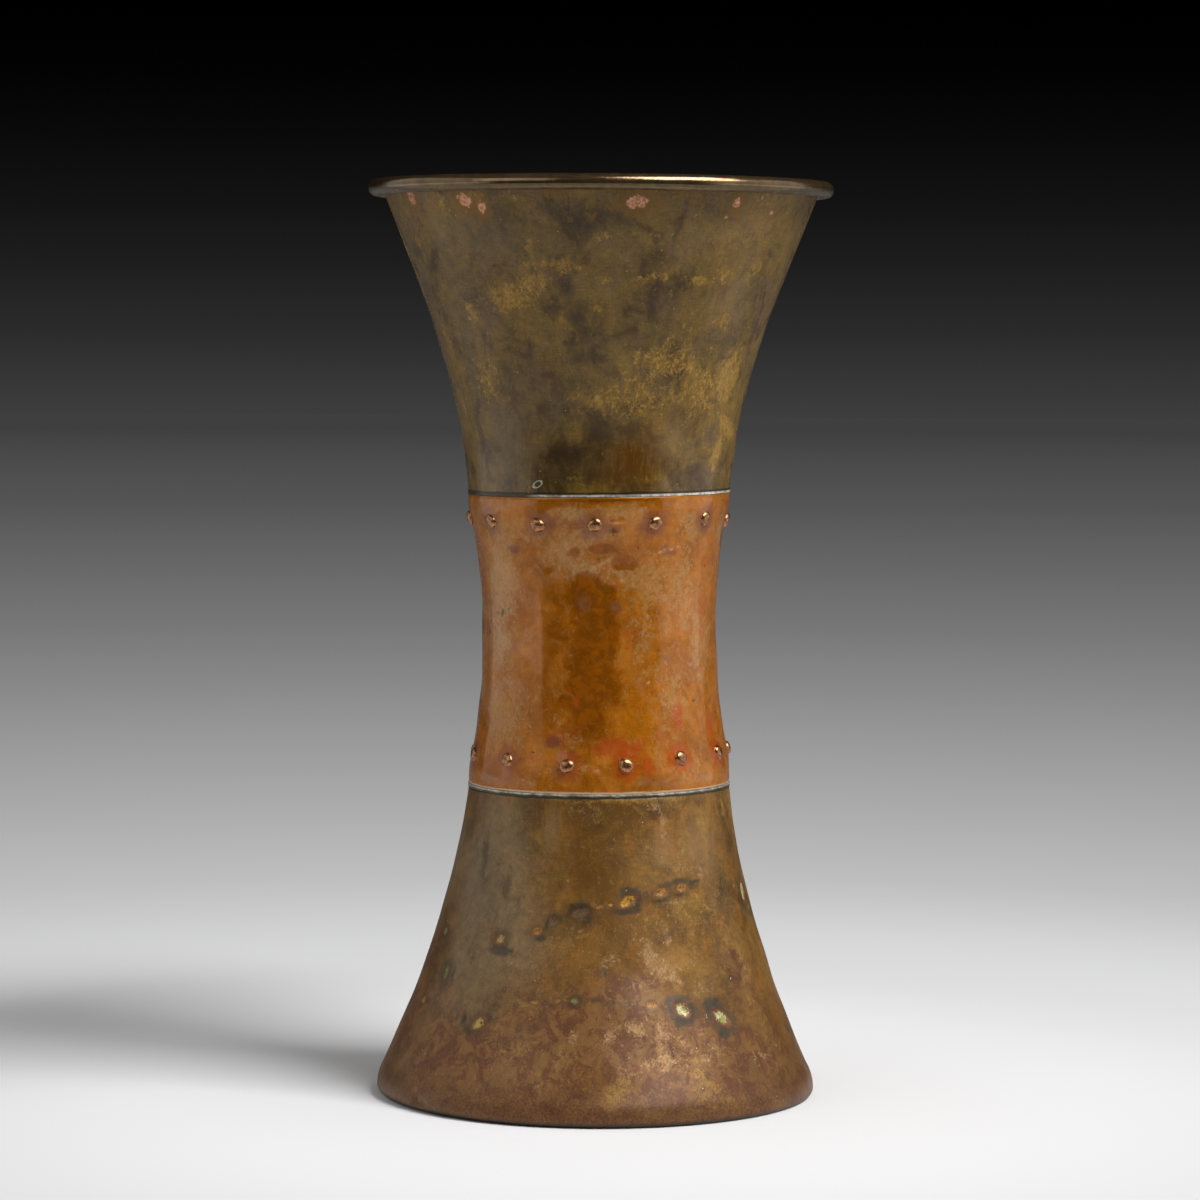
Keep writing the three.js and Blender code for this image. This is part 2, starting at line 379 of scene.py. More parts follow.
UPPER_RIVETS = rivet_places(UPPER_ROW, UPPER_STRAYS)
LOWER_RIVETS = rivet_places(LOWER_ROW, LOWER_STRAYS)


# Materials

class Signal:
    """What a node gives. Sums and products of signals make Math nodes"""

    def __init__(self, finish, socket):
        self.finish, self.socket = finish, socket

    def __add__(self, other):
        return self.finish.math("ADD", self, other)

    def __mul__(self, other):
        return self.finish.math("MULTIPLY", self, other)

    def __sub__(self, other):
        return self.finish.math("SUBTRACT", self, other)

    def __rsub__(self, other):
        return self.finish.math("SUBTRACT", other, self)

    __radd__, __rmul__ = __add__, __mul__


class Finish:
    """A procedural material, or the world's, built node by node"""

    def __init__(self, owner, space="Object"):
        owner.use_nodes = True
        self.owner, self.nodes, self.links = owner, owner.node_tree.nodes, owner.node_tree.links
        self.shader = self.nodes.get("Principled BSDF")
        self.place = self.add("TexCoord", output=space)

    def add(self, kind, inputs=None, output=0, **settings):
        node = self.nodes.new("ShaderNode" + kind)
        for key, value in settings.items():
            setattr(node, key, value)
        for key, value in (inputs or {}).items():
            self.put(value, node.inputs[key])
        return Signal(self, node.outputs[output])

    def put(self, value, socket):
        if isinstance(value, Signal):
            self.links.new(value.socket, socket)
        else:
            socket.default_value = (*value, 1) if socket.type == "RGBA" else value

    def set(self, **values):
        for key, value in values.items():
            self.put(value, self.shader.inputs[key.replace("_", " ")])

    def math(self, operation, first, second=0.0):
        return self.add("Math", {0: first, 1: second}, operation=operation)

    def stretched(self, across, up, shift):
        """Coordinates drawn out or squeezed, so that a pattern runs up or round the sides"""
        scale, location = (1 / across, 1 / across, 1 / up), (shift, 0.37 * shift, 0.71 * shift)
        return self.add("Mapping", {"Vector": self.place, "Scale": scale, "Location": location})

    def noise(self, size, detail=4.0, rough=0.55, warp=0.0, across=1.0, up=1.0, shift=0.0):
        return self.add("TexNoise", {
            "Vector": self.stretched(across, up, shift), "Scale": 1 / (size * MM),
            "Detail": detail, "Roughness": rough, "Distortion": warp,
        })

    def cells(self, size, shift):
        place = self.stretched(1.0, 1.0, shift)
        return self.add("TexVoronoi", {"Vector": place, "Scale": 1 / (size * MM)}, "Distance")

    def step(self, value, low, high, bottom=0.0, top=1.0):
        limits = {"From Min": low, "From Max": high, "To Min": bottom, "To Max": top}
        return self.add("MapRange", {"Value": value, **limits}, interpolation_type="SMOOTHSTEP")

    def mix(self, amount, first, second):
        return self.add("Mix", {"Factor": amount, 6: first, 7: second}, 2, data_type="RGBA")

    def scaled(self, colour, amount):
        """A colour made darker or lighter"""
        return self.add("VectorMath", {0: colour, "Scale": amount}, operation="SCALE")

    def side(self, left, right):
        """From 0 on the left to 1 on the right, between two distances from the middle in millimetres"""
        return self.step(self.add("SeparateXYZ", {0: self.place}, "X"), left * MM, right * MM)

    def field(self, name):
        return self.add("Attribute", output="Fac", attribute_name=name)

    def greys(self, value, stops):
        """Greys of a picture, 0 to 255, against a value from 0 to 1"""
        ramp = self.add("ValToRGB", {0: value})
        elements = ramp.socket.node.color_ramp.elements
        for i, (place, grey) in enumerate(stops):
            stop = elements[i] if i < 2 else elements.new(place)
            stop.position, stop.color = place, (*srgb(grey, grey, grey), 1)
        return ramp

    def seen_by(self, *kinds):
        """1 for the kinds of ray that are named, otherwise 0"""
        return self.math("MAXIMUM", *(self.add("LightPath", output=kind) for kind in kinds))

    def around(self):
        """Angle from the front in degrees, either way, and the height"""
        x, y, z = (self.add("SeparateXYZ", {0: self.place}, axis) for axis in "XYZ")
        return self.math("ARCTAN2", self.math("ABSOLUTE", x), y * -1) * (180 / math.pi), z

    def relief(self, *layers):
        """Fine relief from patterns and their depths in millimetres, the coarsest first"""
        under = {}
        for height, depth in layers:
            under = {"Normal": self.add("Bump", {"Height": height, "Distance": depth * MM, **under})}
        return under["Normal"]


def srgb(red, green, blue):
    """A colour as read from the photograph, 0 to 255"""
    shares = (red / 255, green / 255, blue / 255)
    return tuple(c / 12.92 if c <= 0.04045 else ((c + 0.055) / 1.055) ** 2.4 for c in shares)


# Marks on the surface. Those on the front are placed by their pixels in the photograph,
# with half widths and half heights in millimetres and a strength; the back has others like them.

def spots(marks):
    return [(on_side(across, down), *rest) for across, down, *rest in marks]


def back_spots(seed, count, low, high, sizes, strengths):
    """More marks, strewn over the side away from the camera"""
    rng = np.random.default_rng(seed)
    made = []
    for _ in range(count):
        place = (rng.uniform(math.radians(80), math.radians(280)), rng.uniform(low, high))
        wide = rng.uniform(*sizes)
        made.append((place, wide, wide * rng.uniform(0.5, 1.6), rng.uniform(*strengths)))
    return made


def strength_of(theta, level, marks):
    """Sum of soft spots"""
    total = np.zeros(np.broadcast(theta, level).shape)
    for mark in marks:
        total += mark[3] * np.exp(-(reach_of(theta, level, mark) ** 2))
    return total


def spot_field(marks):
    return lambda theta, level, face: np.minimum(strength_of(theta, level, marks), 1.1)


def reach_of(theta, level, mark):
    place, wide, tall, kind, *heading = mark
    across, up = apart(theta, level, place, float(side_radius(place[1])))
    turn = math.radians(heading[0] if heading else 0)
    along, aside = across * math.cos(turn) + up * math.sin(turn), up * math.cos(turn) - across * math.sin(turn)
    return np.hypot(along / wide, aside / tall)


def nearest_mark(theta, level, marks):
    """Distance from the nearest mark, as a share of its size, and the kind of that mark"""
    best = np.full(np.broadcast(theta, level).shape, 1e9)
    kind = np.zeros_like(best)
    for mark in marks:
        gap = reach_of(theta, level, mark)
        kind = np.where(gap < best, mark[3], kind)
        best = np.minimum(best, gap)
    return np.minimum(best, 9), kind


def reach_field(marks):
    return lambda theta, level, face: nearest_mark(theta, level, marks)[0]


def kind_field(marks):
    return lambda theta, level, face: nearest_mark(theta, level, marks)[1]


def seam_field(shoulder):
    return lambda theta, level, face: np.abs(level - shoulder)


def level_field(theta, level, face):
    return level


def face_field(theta, level, face):
    return face


def rim_field(theta, level, face):
    """The curl of the rim shows the sheet's inner face"""
    return np.maximum(face, fade(level, 300.0, 300.6))


def rivet_field(theta, level, face):
    """Distance to the nearest rivet, in head radii"""
    gaps = [np.hypot(*apart(theta, level, place, ROW_RADIUS)) for place in UPPER_RIVETS + LOWER_RIVETS]
    return np.minimum.reduce(gaps) / HEAD_RADIUS


UPPER_OCHRE = spots([
    (561, 265, 8.5, 2, 1.1), (534, 282, 6.5, 3.5, 1.1), (507, 299, 9, 4.5, 1.1), (470, 312, 3.2, 4.2, 1.1),
    (486, 271, 0.9, 1.2, 0.7), (530, 244, 1.7, 2.8, 0.9), (603, 236, 4.6, 2.1, 0.9), (418, 243, 1.2, 1.8, 0.7),
    (460, 243, 0.8, 1.2, 0.5), (603, 280, 3.4, 1, 0.8), (640, 279, 5, 1, 0.5), (657, 276, 2.8, 1.2, 1),
    (696, 280, 4, 1.6, 1), (726, 275, 6.5, 3.2, 0.9), (755, 268, 3.5, 2.5, 0.8), (448, 345, 3.8, 8.5, 0.8),
    (489, 380, 6.2, 7.6, 0.75), (465, 408, 1.4, 4.2, 0.9), (560, 321, 1.8, 2.4, 0.8), (597, 310, 3.4, 1.4, 0.7),
    (670, 293, 1.2, 1.2, 0.9), (722, 319, 3.8, 3.2, 0.8), (631, 398, 15, 7.4, 0.85), (597, 408, 3.4, 3.5, 0.9),
    (660, 361, 12, 5, 0.75), (691, 368, 1.4, 1.2, 1), (708, 386, 12, 11, 0.75), (730, 377, 5, 8.5, 1.5),
    (728, 428, 2.4, 7, 2.1, 65), (716, 455, 2.4, 6, 2.1, -18), (610, 480, 2, 2.2, 1), (645, 479, 3.6, 1.2, 0.7),
    (575, 478, 3, 1.2, 0.6), (441, 200, 1.4, 3, 1.2), (474, 197, 5, 2.2, 1), (515, 196, 3, 2, 0.7),
    (640, 194, 4, 1.6, 0.6), (765, 200, 6, 4, 0.7), (740, 236, 8, 3, 0.4), (690, 330, 8, 4, 0.35),
    (540, 345, 8, 3, 0.35),
]) + back_spots(41, 40, 206, 296, (3, 12), (0.5, 0.95))
UPPER_GRIME = spots([
    (651, 303, 2.6, 5.8, 0.7), (577, 319, 3.4, 3.2, 0.8), (559, 292, 3.4, 5, 0.4), (600, 214, 12, 5, 0.5),
    (597, 416, 8, 5, 0.75), (590, 338, 9, 5, 0.45), (510, 340, 7, 5, 0.4), (583, 358, 7.4, 2.8, 0.8),
    (625, 312, 0.8, 1.6, 0.8), (543, 408, 2.8, 2.2, 0.8), (520, 395, 7, 6, 0.4), (603, 438, 4.6, 4, 1),
    (628, 432, 4, 4, 0.8), (565, 458, 10, 4.5, 0.9), (677, 392, 0.9, 0.9, 0.7), (590, 478, 14, 3, 0.6),
    (635, 428, 4, 3, 0.5), (560, 430, 8, 7, 0.5), (530, 215, 12, 5, 0.4), (580, 222, 12, 5, 0.5),
    (700, 440, 3, 3, 0.3),
]) + back_spots(42, 18, 206, 296, (3.5, 9), (0.4, 0.9))
UPPER_WARM = spots([
    (640, 456, 6, 8, 0.9), (622, 462, 6, 7, 0.8), (608, 476, 6, 4, 0.5), (636, 440, 3, 5, 0.4),
    (652, 474, 4, 4, 0.4), (565, 264, 6, 1.6, 0.5), (595, 265, 5, 2, 0.4),
]) + back_spots(48, 14, 206, 296, (4, 9), (0.3, 0.7))
# Where the grey veil lies: partly haze, partly painted reflection of the lamps
UPPER_HAZE_AND_SHEEN = spots([
    (505, 445, 9, 17, 1), (490, 330, 8, 14, 0.35), (480, 235, 22, 8, 0.65), (668, 440, 8, 9, 0.9),
    (712, 470, 8, 5, 0.7), (540, 450, 5, 8, 0.5), (520, 400, 6, 8, 0.3), (672, 240, 13, 8, 0.4),
    (600, 345, 10, 5, 0.3), (740, 230, 12, 12, 0.6), (725, 300, 8, 9, 0.7), (560, 470, 4, 5, 0.4),
]) + back_spots(49, 12, 206, 290, (7, 18), (0.3, 0.8))
UPPER_CHIPS = spots([
    (411, 197, 1.9, 2.4, 0), (464.5, 200.5, 2.4, 2.1, 0), (482, 207, 1.4, 1.9, 0), (637, 202, 3, 1.9, 0),
    (737, 203.5, 1.4, 1.5, 0), (771, 213, 0.8, 0.8, 0), (726, 217, 0.6, 0.6, 0), (762, 198, 0.5, 0.5, 0),
]) + [mark for mark in back_spots(43, 11, 290, 299, (0.8, 2.2), (0, 0)) if mark[0][0] > 1.9]
UPPER_RINGS = spots([(537.4, 484.4, 1.95, 0.98, 1, 25), (657.4, 238, 1.6, 1.8, 0)])

# Pits have a kind in place of a strength (0.1 blister, 0.3 orange, 0.5 yellow, 0.75 pale green, 0.95 green),
# and any mark may end with its turn in degrees
PITS = spots([
    (446.6, 973, 1.2, 2, 0.9, 0), (501, 939, 1.6, 1.3, 0.6, 15), (537, 931.4, 1.9, 1.2, 0.35, 25),
    (553, 922, 1.8, 1.3, 0.08, 20), (580, 913, 3, 1.5, 0.12, 15), (581, 931, 1.6, 0.6, 0.25, 8),
    (600, 907, 1.7, 0.6, 0.28, 5), (611, 905, 0.7, 0.5, 0.55, 0), (627.5, 901, 2.7, 1.4, 0.5, 25),
    (645.7, 895, 0.7, 0.7, 0.1, 0), (661, 892.3, 2.5, 1.2, 0.3, 12), (681.4, 887.5, 2.1, 1.2, 0.42, 8),
    (697, 884, 0.8, 0.8, 0.1, 0), (722.5, 884, 0.6, 1.6, 0.1, 0), (734, 886, 0.9, 0.9, 0.3, 0),
    (742.6, 891.4, 1.8, 2.8, 0.78, -15), (479.4, 1023.4, 2.4, 1.5, 0.6, 30), (494.7, 1008, 1.6, 0.8, 0.12, 10),
    (516, 1005, 1, 0.5, 0.15, 0), (535.3, 1002, 1.3, 0.7, 0.3, 0), (545, 1003, 0.8, 0.4, 0.15, 0),
    (557.5, 1001, 1.1, 0.7, 0.25, 0), (575, 1001, 1.1, 0.9, 0.92, 0), (595, 1001, 1.4, 0.3, 0.12, 0),
    (611, 1003, 1, 0.5, 0.12, 0), (626, 1005, 1, 0.5, 0.12, 0), (652, 1005, 1.7, 0.9, 0.33, 0),
    (682.3, 1009.3, 2.3, 1.6, 0.75, -30), (721.8, 1017.3, 2.9, 1.7, 0.75, -35), (667, 936, 1.4, 0.5, 0.2, 35),
    (707, 1017, 0.4, 0.4, 0.68, 0), (504.6, 989.7, 0.4, 0.4, 0.68, 0), (731, 978, 0.45, 0.45, 0.68, 0),
    (650.5, 1099, 0.4, 0.4, 0.68, 0), (703, 1089, 0.4, 0.4, 0.68, 0), (777, 1096, 0.4, 0.4, 0.68, 0),
    (603, 971, 0.9, 0.9, 0.1, 0),
])


def back_chain(seed, level, climb, count):
    """A chain of pits that goes on round the back"""
    rng = np.random.default_rng(seed)
    turns = np.linspace(math.radians(80), math.radians(290), count) + rng.normal(0, 0.03, count)
    pits = []
    for turn in turns:
        place = (turn, level + climb * math.sin(turn) + rng.normal(0, 1.6))
        pits.append((place, rng.uniform(0.8, 2.0), rng.uniform(0.7, 1.6), rng.uniform(0, 1)))
    return pits


PITS += back_chain(51, 59, 4, 12) + back_chain(52, 27, -3, 10)
# Soot round the pits, and painted shade on one side of each
SOOT_AND_SHADE = spots([
    (501, 951, 5, 1.6, 1.5, 0), (496, 934, 1, 1, 0.5), (541, 938.5, 1.8, 1.2, 1.1),
    (546, 926, 0.9, 2.4, 0.9, -20), (554, 915, 2.6, 0.7, 0.9), (561, 920, 0.7, 1.4, 0.7),
    (571, 910, 1, 2.4, 1, -30), (580, 905.5, 3.4, 0.9, 1.2), (588, 919, 2.4, 1.6, 0.8),
    (600, 902, 2.4, 0.6, 0.4), (628, 892, 3.2, 1.6, 1.4, -10), (626, 911, 4.2, 1.2, 1.5),
    (638, 901, 1.2, 3, 1.2), (663, 900, 3.4, 0.7, 1.2, 8), (667, 885, 3, 0.8, 1.2, 10),
    (652, 893, 0.8, 1.2, 0.8), (681, 881, 3.4, 0.8, 1.2), (681, 894, 2.6, 0.7, 1.1), (691, 884, 1.4, 1.4, 0.9),
    (697, 881, 1.6, 0.6, 1.1), (722, 884, 0.8, 2.6, 1), (737, 884, 1.2, 2.4, 0.9), (446, 962, 1.6, 1.8, 0.8),
    (453, 975, 1, 3.4, 0.8), (440, 975, 0.9, 3.4, 0.6), (465, 1018, 1.8, 2.6, 0.9), (470, 1030, 3, 1.4, 0.8),
    (490, 1018, 1.6, 1.8, 1), (484, 1011, 2, 0.8, 0.6), (681.5, 1021, 3, 1.8, 1.4), (670, 1008, 1, 3.4, 0.9),
    (680, 998, 4.4, 0.8, 1.1), (692, 1010, 1, 3, 0.9), (725, 1032, 2.6, 2.6, 1.4), (714.5, 1004, 3.2, 2.4, 1.3),
    (709, 1012, 1.2, 2.4, 0.8), (573, 1006, 1.2, 0.5, 0.7), (735, 1016, 0.7, 2.2, 0.7), (702, 1004, 2, 0.8, 0.5),
]) + back_spots(44, 20, 10, 98, (1.5, 5), (0.5, 1.2))
# Dark patches, among them painted shade below the band and along the foot
SHADE = spots([
    (600, 812, 16, 5, 0.7), (590, 850, 10, 10, 0.4), (487, 846, 2, 6.5, 0.9), (507, 887, 2.6, 4, 0.9),
    (498, 862, 2, 5, 0.6), (518, 905, 3, 5, 0.4), (484, 870, 2, 5, 0.5), (530, 800, 4, 2, 0.5),
    (540, 868, 3, 8, 0.3), (583, 870, 4, 3, 0.7), (590, 800, 10, 2, 0.5), (605, 930, 10, 3, 0.4),
    (470, 960, 6, 12, 0.3), (660, 808, 8, 3, 0.6), (640, 1096, 22, 5, 0.55), (560, 1104, 20, 4, 0.45),
    (700, 798, 10, 2, 0.6),
]) + back_spots(50, 16, 6, 98, (3, 9), (0.4, 0.9))
# Where the grey veil lies: partly haze, partly painted reflection of the lamps
LOWER_HAZE_AND_SHEEN = spots([
    (500, 850, 13, 24, 1), (480, 930, 14, 20, 0.9), (460, 1000, 18, 16, 0.7), (530, 940, 10, 16, 0.5),
    (480, 1080, 24, 10, 0.5), (552, 830, 3, 10, 0.5), (400, 1060, 7, 16, 1), (430, 1102, 18, 5, 0.9),
    (700, 848, 9, 12, 0.8), (660, 850, 6, 8, 0.6), (620, 1045, 14, 8, 0.2), (540, 1050, 12, 9, 0.5),
    (655, 1000, 8, 8, 0.3), (722, 1045, 8, 7, 0.2), (670, 960, 7, 7, 0.3),
]) + back_spots(40, 12, 10, 96, (9, 22), (0.4, 0.9))
LOWER_AMBER = spots([
    (580, 846, 7, 13, 0.8), (604, 918, 7, 7, 0.7), (603, 868, 8, 12, 0.6), (622, 940, 8, 8, 0.5),
    (600, 960, 8, 5, 0.4), (622, 806, 7, 6, 1), (566, 985, 8, 4, 0.5), (590, 880, 6, 6, 0.6),
    (645, 920, 6, 4, 0.4), (560, 800, 8, 4, 0.4), (605, 1085, 8, 5, 0.5), (500, 1100, 10, 4, 0.5),
]) + back_spots(53, 14, 10, 98, (5, 12), (0.4, 0.8))
LOWER_OCHRE = spots([
    (700, 818, 3.4, 3.4, 1), (705, 840, 2.4, 6, 1), (722, 806, 1.6, 4, 1), (677, 806, 2.4, 2, 0.8),
    (588, 812, 9, 4, 0.5), (640, 812, 5, 5, 0.4), (650, 799, 24, 1.2, 1.1), (560, 798, 8, 1, 0.7),
    (583, 932, 4, 1.6, 1), (560, 945, 14, 4, 0.5), (600, 905, 6, 1, 0.7), (700, 905, 14, 9, 0.55),
    (640, 925, 10, 5, 0.4), (742, 955, 4, 5, 0.9), (727, 940, 4, 4, 0.9), (697, 1077, 4, 5, 1.1),
    (712, 1092, 5, 4, 1.1), (737, 1105, 6, 3, 1), (777, 1104, 5, 3, 1), (622, 1088, 4.4, 5, 1.1),
    (608, 1103, 3.4, 3.4, 1), (655, 1114, 5, 2, 1), (690, 1112, 6, 2, 0.6), (520, 1004, 8, 0.7, 0.9),
    (495, 1009, 3, 0.8, 1), (560, 1002, 9, 0.6, 0.8), (600, 1003, 10, 0.5, 0.7), (640, 1004, 7, 0.6, 0.7),
    (652, 1006, 1.8, 0.8, 1), (750, 995, 3, 6, 0.7), (765, 1030, 4, 8, 0.5), (565, 985, 14, 4, 0.35),
    (520, 1050, 16, 6, 0.35), (486, 1098, 5, 2, 0.6), (560, 1080, 9, 6, 0.3), (443, 1073, 1, 1, 0.9),
    (473, 1100, 1, 1, 0.9), (501, 1100, 1, 1, 0.9),
]) + back_spots(45, 34, 6, 100, (3, 11), (0.5, 1.0))
# Pale patches; those low on the right, where the key lamp's reflection lies, are partly painted highlight
PALE_AND_SHEEN = spots([
    (612, 958, 3.6, 2, 1), (604, 970, 1.4, 1.8, 1), (646, 950, 2.6, 4, 1), (656, 958, 3.4, 3, 0.9),
    (668, 938, 1.6, 3.4, 1), (662, 972, 4, 3, 0.9), (677, 982, 3, 4, 0.8), (690, 960, 4, 3, 0.6),
    (610, 1035, 2.2, 3.4, 1), (572, 1038, 2.6, 1.6, 0.9), (628, 1026, 3, 2, 0.9), (638, 1034, 2.4, 2.4, 0.9),
    (655, 1022, 5, 3, 0.6), (662, 1052, 3, 4, 1), (668, 1064, 3.4, 2.4, 0.9), (646, 1064, 4, 2, 1),
    (700, 1060, 5, 2.4, 0.9), (684, 1044, 3, 3, 0.7), (622, 1074, 3, 3, 0.7), (715, 1048, 4, 2.4, 0.6),
    (662, 826, 1.6, 6, 0.9), (655, 806, 2.4, 2, 0.8), (648, 846, 2.4, 3, 0.7), (680, 862, 5, 4, 0.7),
    (675, 902, 3, 0.8, 1.2), (700, 870, 4, 4, 0.7), (590, 1050, 8, 4, 0.3), (520, 960, 10, 3, 0.35),
    (745, 970, 2.4, 3, 0.8), (640, 985, 4, 2, 0.7), (582, 918, 3, 0.6, 0.8), (700, 985, 4, 3, 0.6),
    (700, 1030, 3, 3, 0.5), (760, 1060, 5, 4, 0.4), (540, 1085, 8, 3, 0.45), (664, 1036, 3, 2, 0.8),
    (716, 900, 5, 6, 0.4), (560, 1060, 4, 6, 0.4), (500, 1050, 8, 5, 0.35),
]) + back_spots(46, 34, 6, 80, (2, 6), (0.5, 1.0))
# Rust marks, with painted shade on the foot among them
RUST_AND_SHADE = spots([
    (580, 1075, 12, 13, 0.9), (600, 1010, 20, 4, 0.7), (732, 960, 6, 6, 1), (775, 1075, 12, 12, 1),
    (640, 1068, 12, 6, 0.6), (700, 1035, 14, 9, 0.6), (480, 1070, 24, 10, 0.4), (620, 985, 16, 6, 0.6),
    (700, 1080, 20, 10, 1.3), (655, 1060, 10, 12, 0.6), (600, 1085, 12, 8, 0.8), (560, 1112, 30, 3, 1),
    (650, 1090, 10, 5, 1), (440, 1040, 14, 14, 0.3), (480, 1028, 3.4, 2.4, 0.9), (676, 1003, 4, 2, 0.9),
    (716, 1012, 3, 3, 0.9), (495, 938, 3, 3, 0.7), (600, 930, 24, 8, 0.35), (700, 800, 8, 4, 0.7),
    (640, 845, 7, 10, 0.5), (590, 850, 8, 8, 0.35), (604, 907, 4, 1.2, 0.9), (560, 1040, 10, 8, 0.5),
    (750, 985, 8, 8, 0.5),
]) + back_spots(47, 26, 3, 60, (6, 20), (0.4, 0.9))

# Colours, from the photograph

OLIVE_BROWN, GREY_BROWN, UMBER = srgb(120, 92, 38), srgb(108, 84, 50), srgb(112, 90, 38)
# The second of these, black-green, is the colour of painted shade
DARK_BROWN, SHADE_BLACK_GREEN = srgb(64, 44, 20), srgb(36, 38, 30)


def mottled(f, colours, dark, shift, contrast):
    """Old patina: three colours in soft clouds, darker clouds, and fine grain"""
    first, second, third = colours
    clouds = f.noise(26, 4, 0.55, 0.7, shift=shift)
    patches = f.noise(10, 6, 0.62, 0.7, shift=shift + 0.31)
    blotches = f.noise(3.6, 6, 0.68, 0.5, shift=shift + 0.53)
    grain = f.noise(0.8, 4, 0.7, shift=shift + 0.77)
    brushed = f.noise(0.5, 3, 0.6, up=9.0, shift=shift + 0.91)
    rubbed = f.noise(0.5, 3, 0.6, across=7.0, shift=shift + 0.63)
    dusk = f.noise(15, 6, 0.62, 0.8, up=1.3, shift=shift + 0.2)
    uneven = f.noise(17, 8, 0.68, 0.8, shift=shift + 0.44)
    colour = f.mix(f.step(clouds, 0.42, 0.58), first, second)
    colour = f.mix(f.step(patches, 0.44, 0.6, 0, 0.8), colour, third)
    colour = f.mix(f.step(dusk, 0.5, 0.66, 0, 0.6 * contrast), colour, dark)
    light = blotches * 0.22 + uneven * 0.36 + (grain * 0.9 + brushed + rubbed) * 0.14
    colour = f.scaled(colour, f.step(light, 0.4, 0.6, 1 - 0.3 * contrast, 1 + 0.28 * contrast))
    return colour, patches, blotches, grain


def torn(f, field, pattern, fine, low, high, top, pull=0.2):
    """Patches with torn edges: a pattern cut off at a height that a field brings down"""
    return f.step(field * pull + (pattern * 0.72 + fine * 0.28), low, high, 0, top)


def patchy(f, colour, field, size, stain, fleck, shift, low, strength, pull=0.16):
    """Patches that begin as a stain and end in a crowd of small bright flecks"""
    pattern = f.noise(size, 8, 0.72, 0.9, shift=shift)
    fine = f.noise(0.9, 4, 0.72, 0.6, up=1.5, shift=shift + 2.8)
    uneven = f.step(f.noise(1.3, 5, 0.7, 0.5, shift=shift + 0.7), 0.4, 0.6, 0.35, 0.9)
    flecks = f.noise(1.4, 7, 0.76, 0.9, up=1.2, shift=shift + 1.4)
    colour = f.mix(uneven * torn(f, field, pattern, fine, low, low + 0.09, strength, pull), colour, stain)
    crowd = torn(f, field, flecks, pattern, low + 0.03, low + 0.08, 1.0, 0.75 * pull)
    return f.mix(crowd * f.step(fine, 0.4, 0.6, 0.3, 1) * strength, colour, fleck)


def sheen_hazed(f, colour, patches, tint, top):
    """A soft grey veil: partly a haze on the patina, partly painted reflection of the lamps"""
    return f.mix(f.step(f.field("haze_and_sheen") * 0.6 + patches * 0.5, 0.3, 0.85, 0, top), colour, tint)


def ragged(f, field, first, second, low, high, top):
    """A field broken up by patterns"""
    return f.step(f.field(field) * 0.42 + (first * 0.7 + second * 0.35), low, high, 0, top)


def sprinkled(f, colour, size, share, tint):
    """Tiny specks in loose groups"""
    groups = f.step(f.noise(7, 2, 0.5, shift=3.3), share, share + 0.08)
    return f.mix(f.step(f.cells(size, 3.1), 0.11, 0.06, 0, 0.75) * groups, colour, tint)


# Painted shade: a dark line along the groove beside each seam
def seam_shade(f, colour, blotches, reach):
    near = f.field("seam") + (blotches - 0.5) * (reach * 1.6)
    return f.mix(f.step(near, reach, 0.1, 0, 0.6), colour, SHADE_BLACK_GREEN)


def two_browns(f, value, low, high, first, second):
    """One colour where a pattern is low and another where it is high"""
    return f.mix(f.step(value, low, high), srgb(*first), srgb(*second))


def hidden(f, dark, light, patches, blotches, grain):
    """The side that was never polished: two browns in clouds, with runs and specks of dirt"""
    colour = f.mix(f.step(patches, 0.34, 0.66), dark, light)
    colour = f.scaled(colour, f.step(blotches * 0.55 + grain * 0.45, 0.38, 0.62, 0.72, 1.22))
    runs = f.step(f.noise(4, 6, 0.66, 0.5, up=5.0, shift=4.1), 0.5, 0.68, 0, 0.55)
    colour = f.mix(runs, colour, tuple(0.45 * c for c in dark))
    return patchy(f, colour, 0.2, 5, light, tuple(1.5 * c for c in light), 4.4, 0.6, 0.5)


def finished(f, colour, inner, rough, **values):
    """Joins the hidden side, colour and roughness to the shader, which has no gloss but its coat's"""
    outside = f.field("outside")
    rough = rough + f.step(outside, 0, 1, 0.18, 0)
    f.set(Base_Color=f.mix(outside, inner, colour), Roughness=rough, Specular_IOR_Level=0.0, **values)
    return f.owner


def patina_gloss(f, patches, grain):
    return f.step(patches, 0.35, 0.65, 0.34, 0.5) + f.step(grain, 0.35, 0.65, -0.04, 0.06)


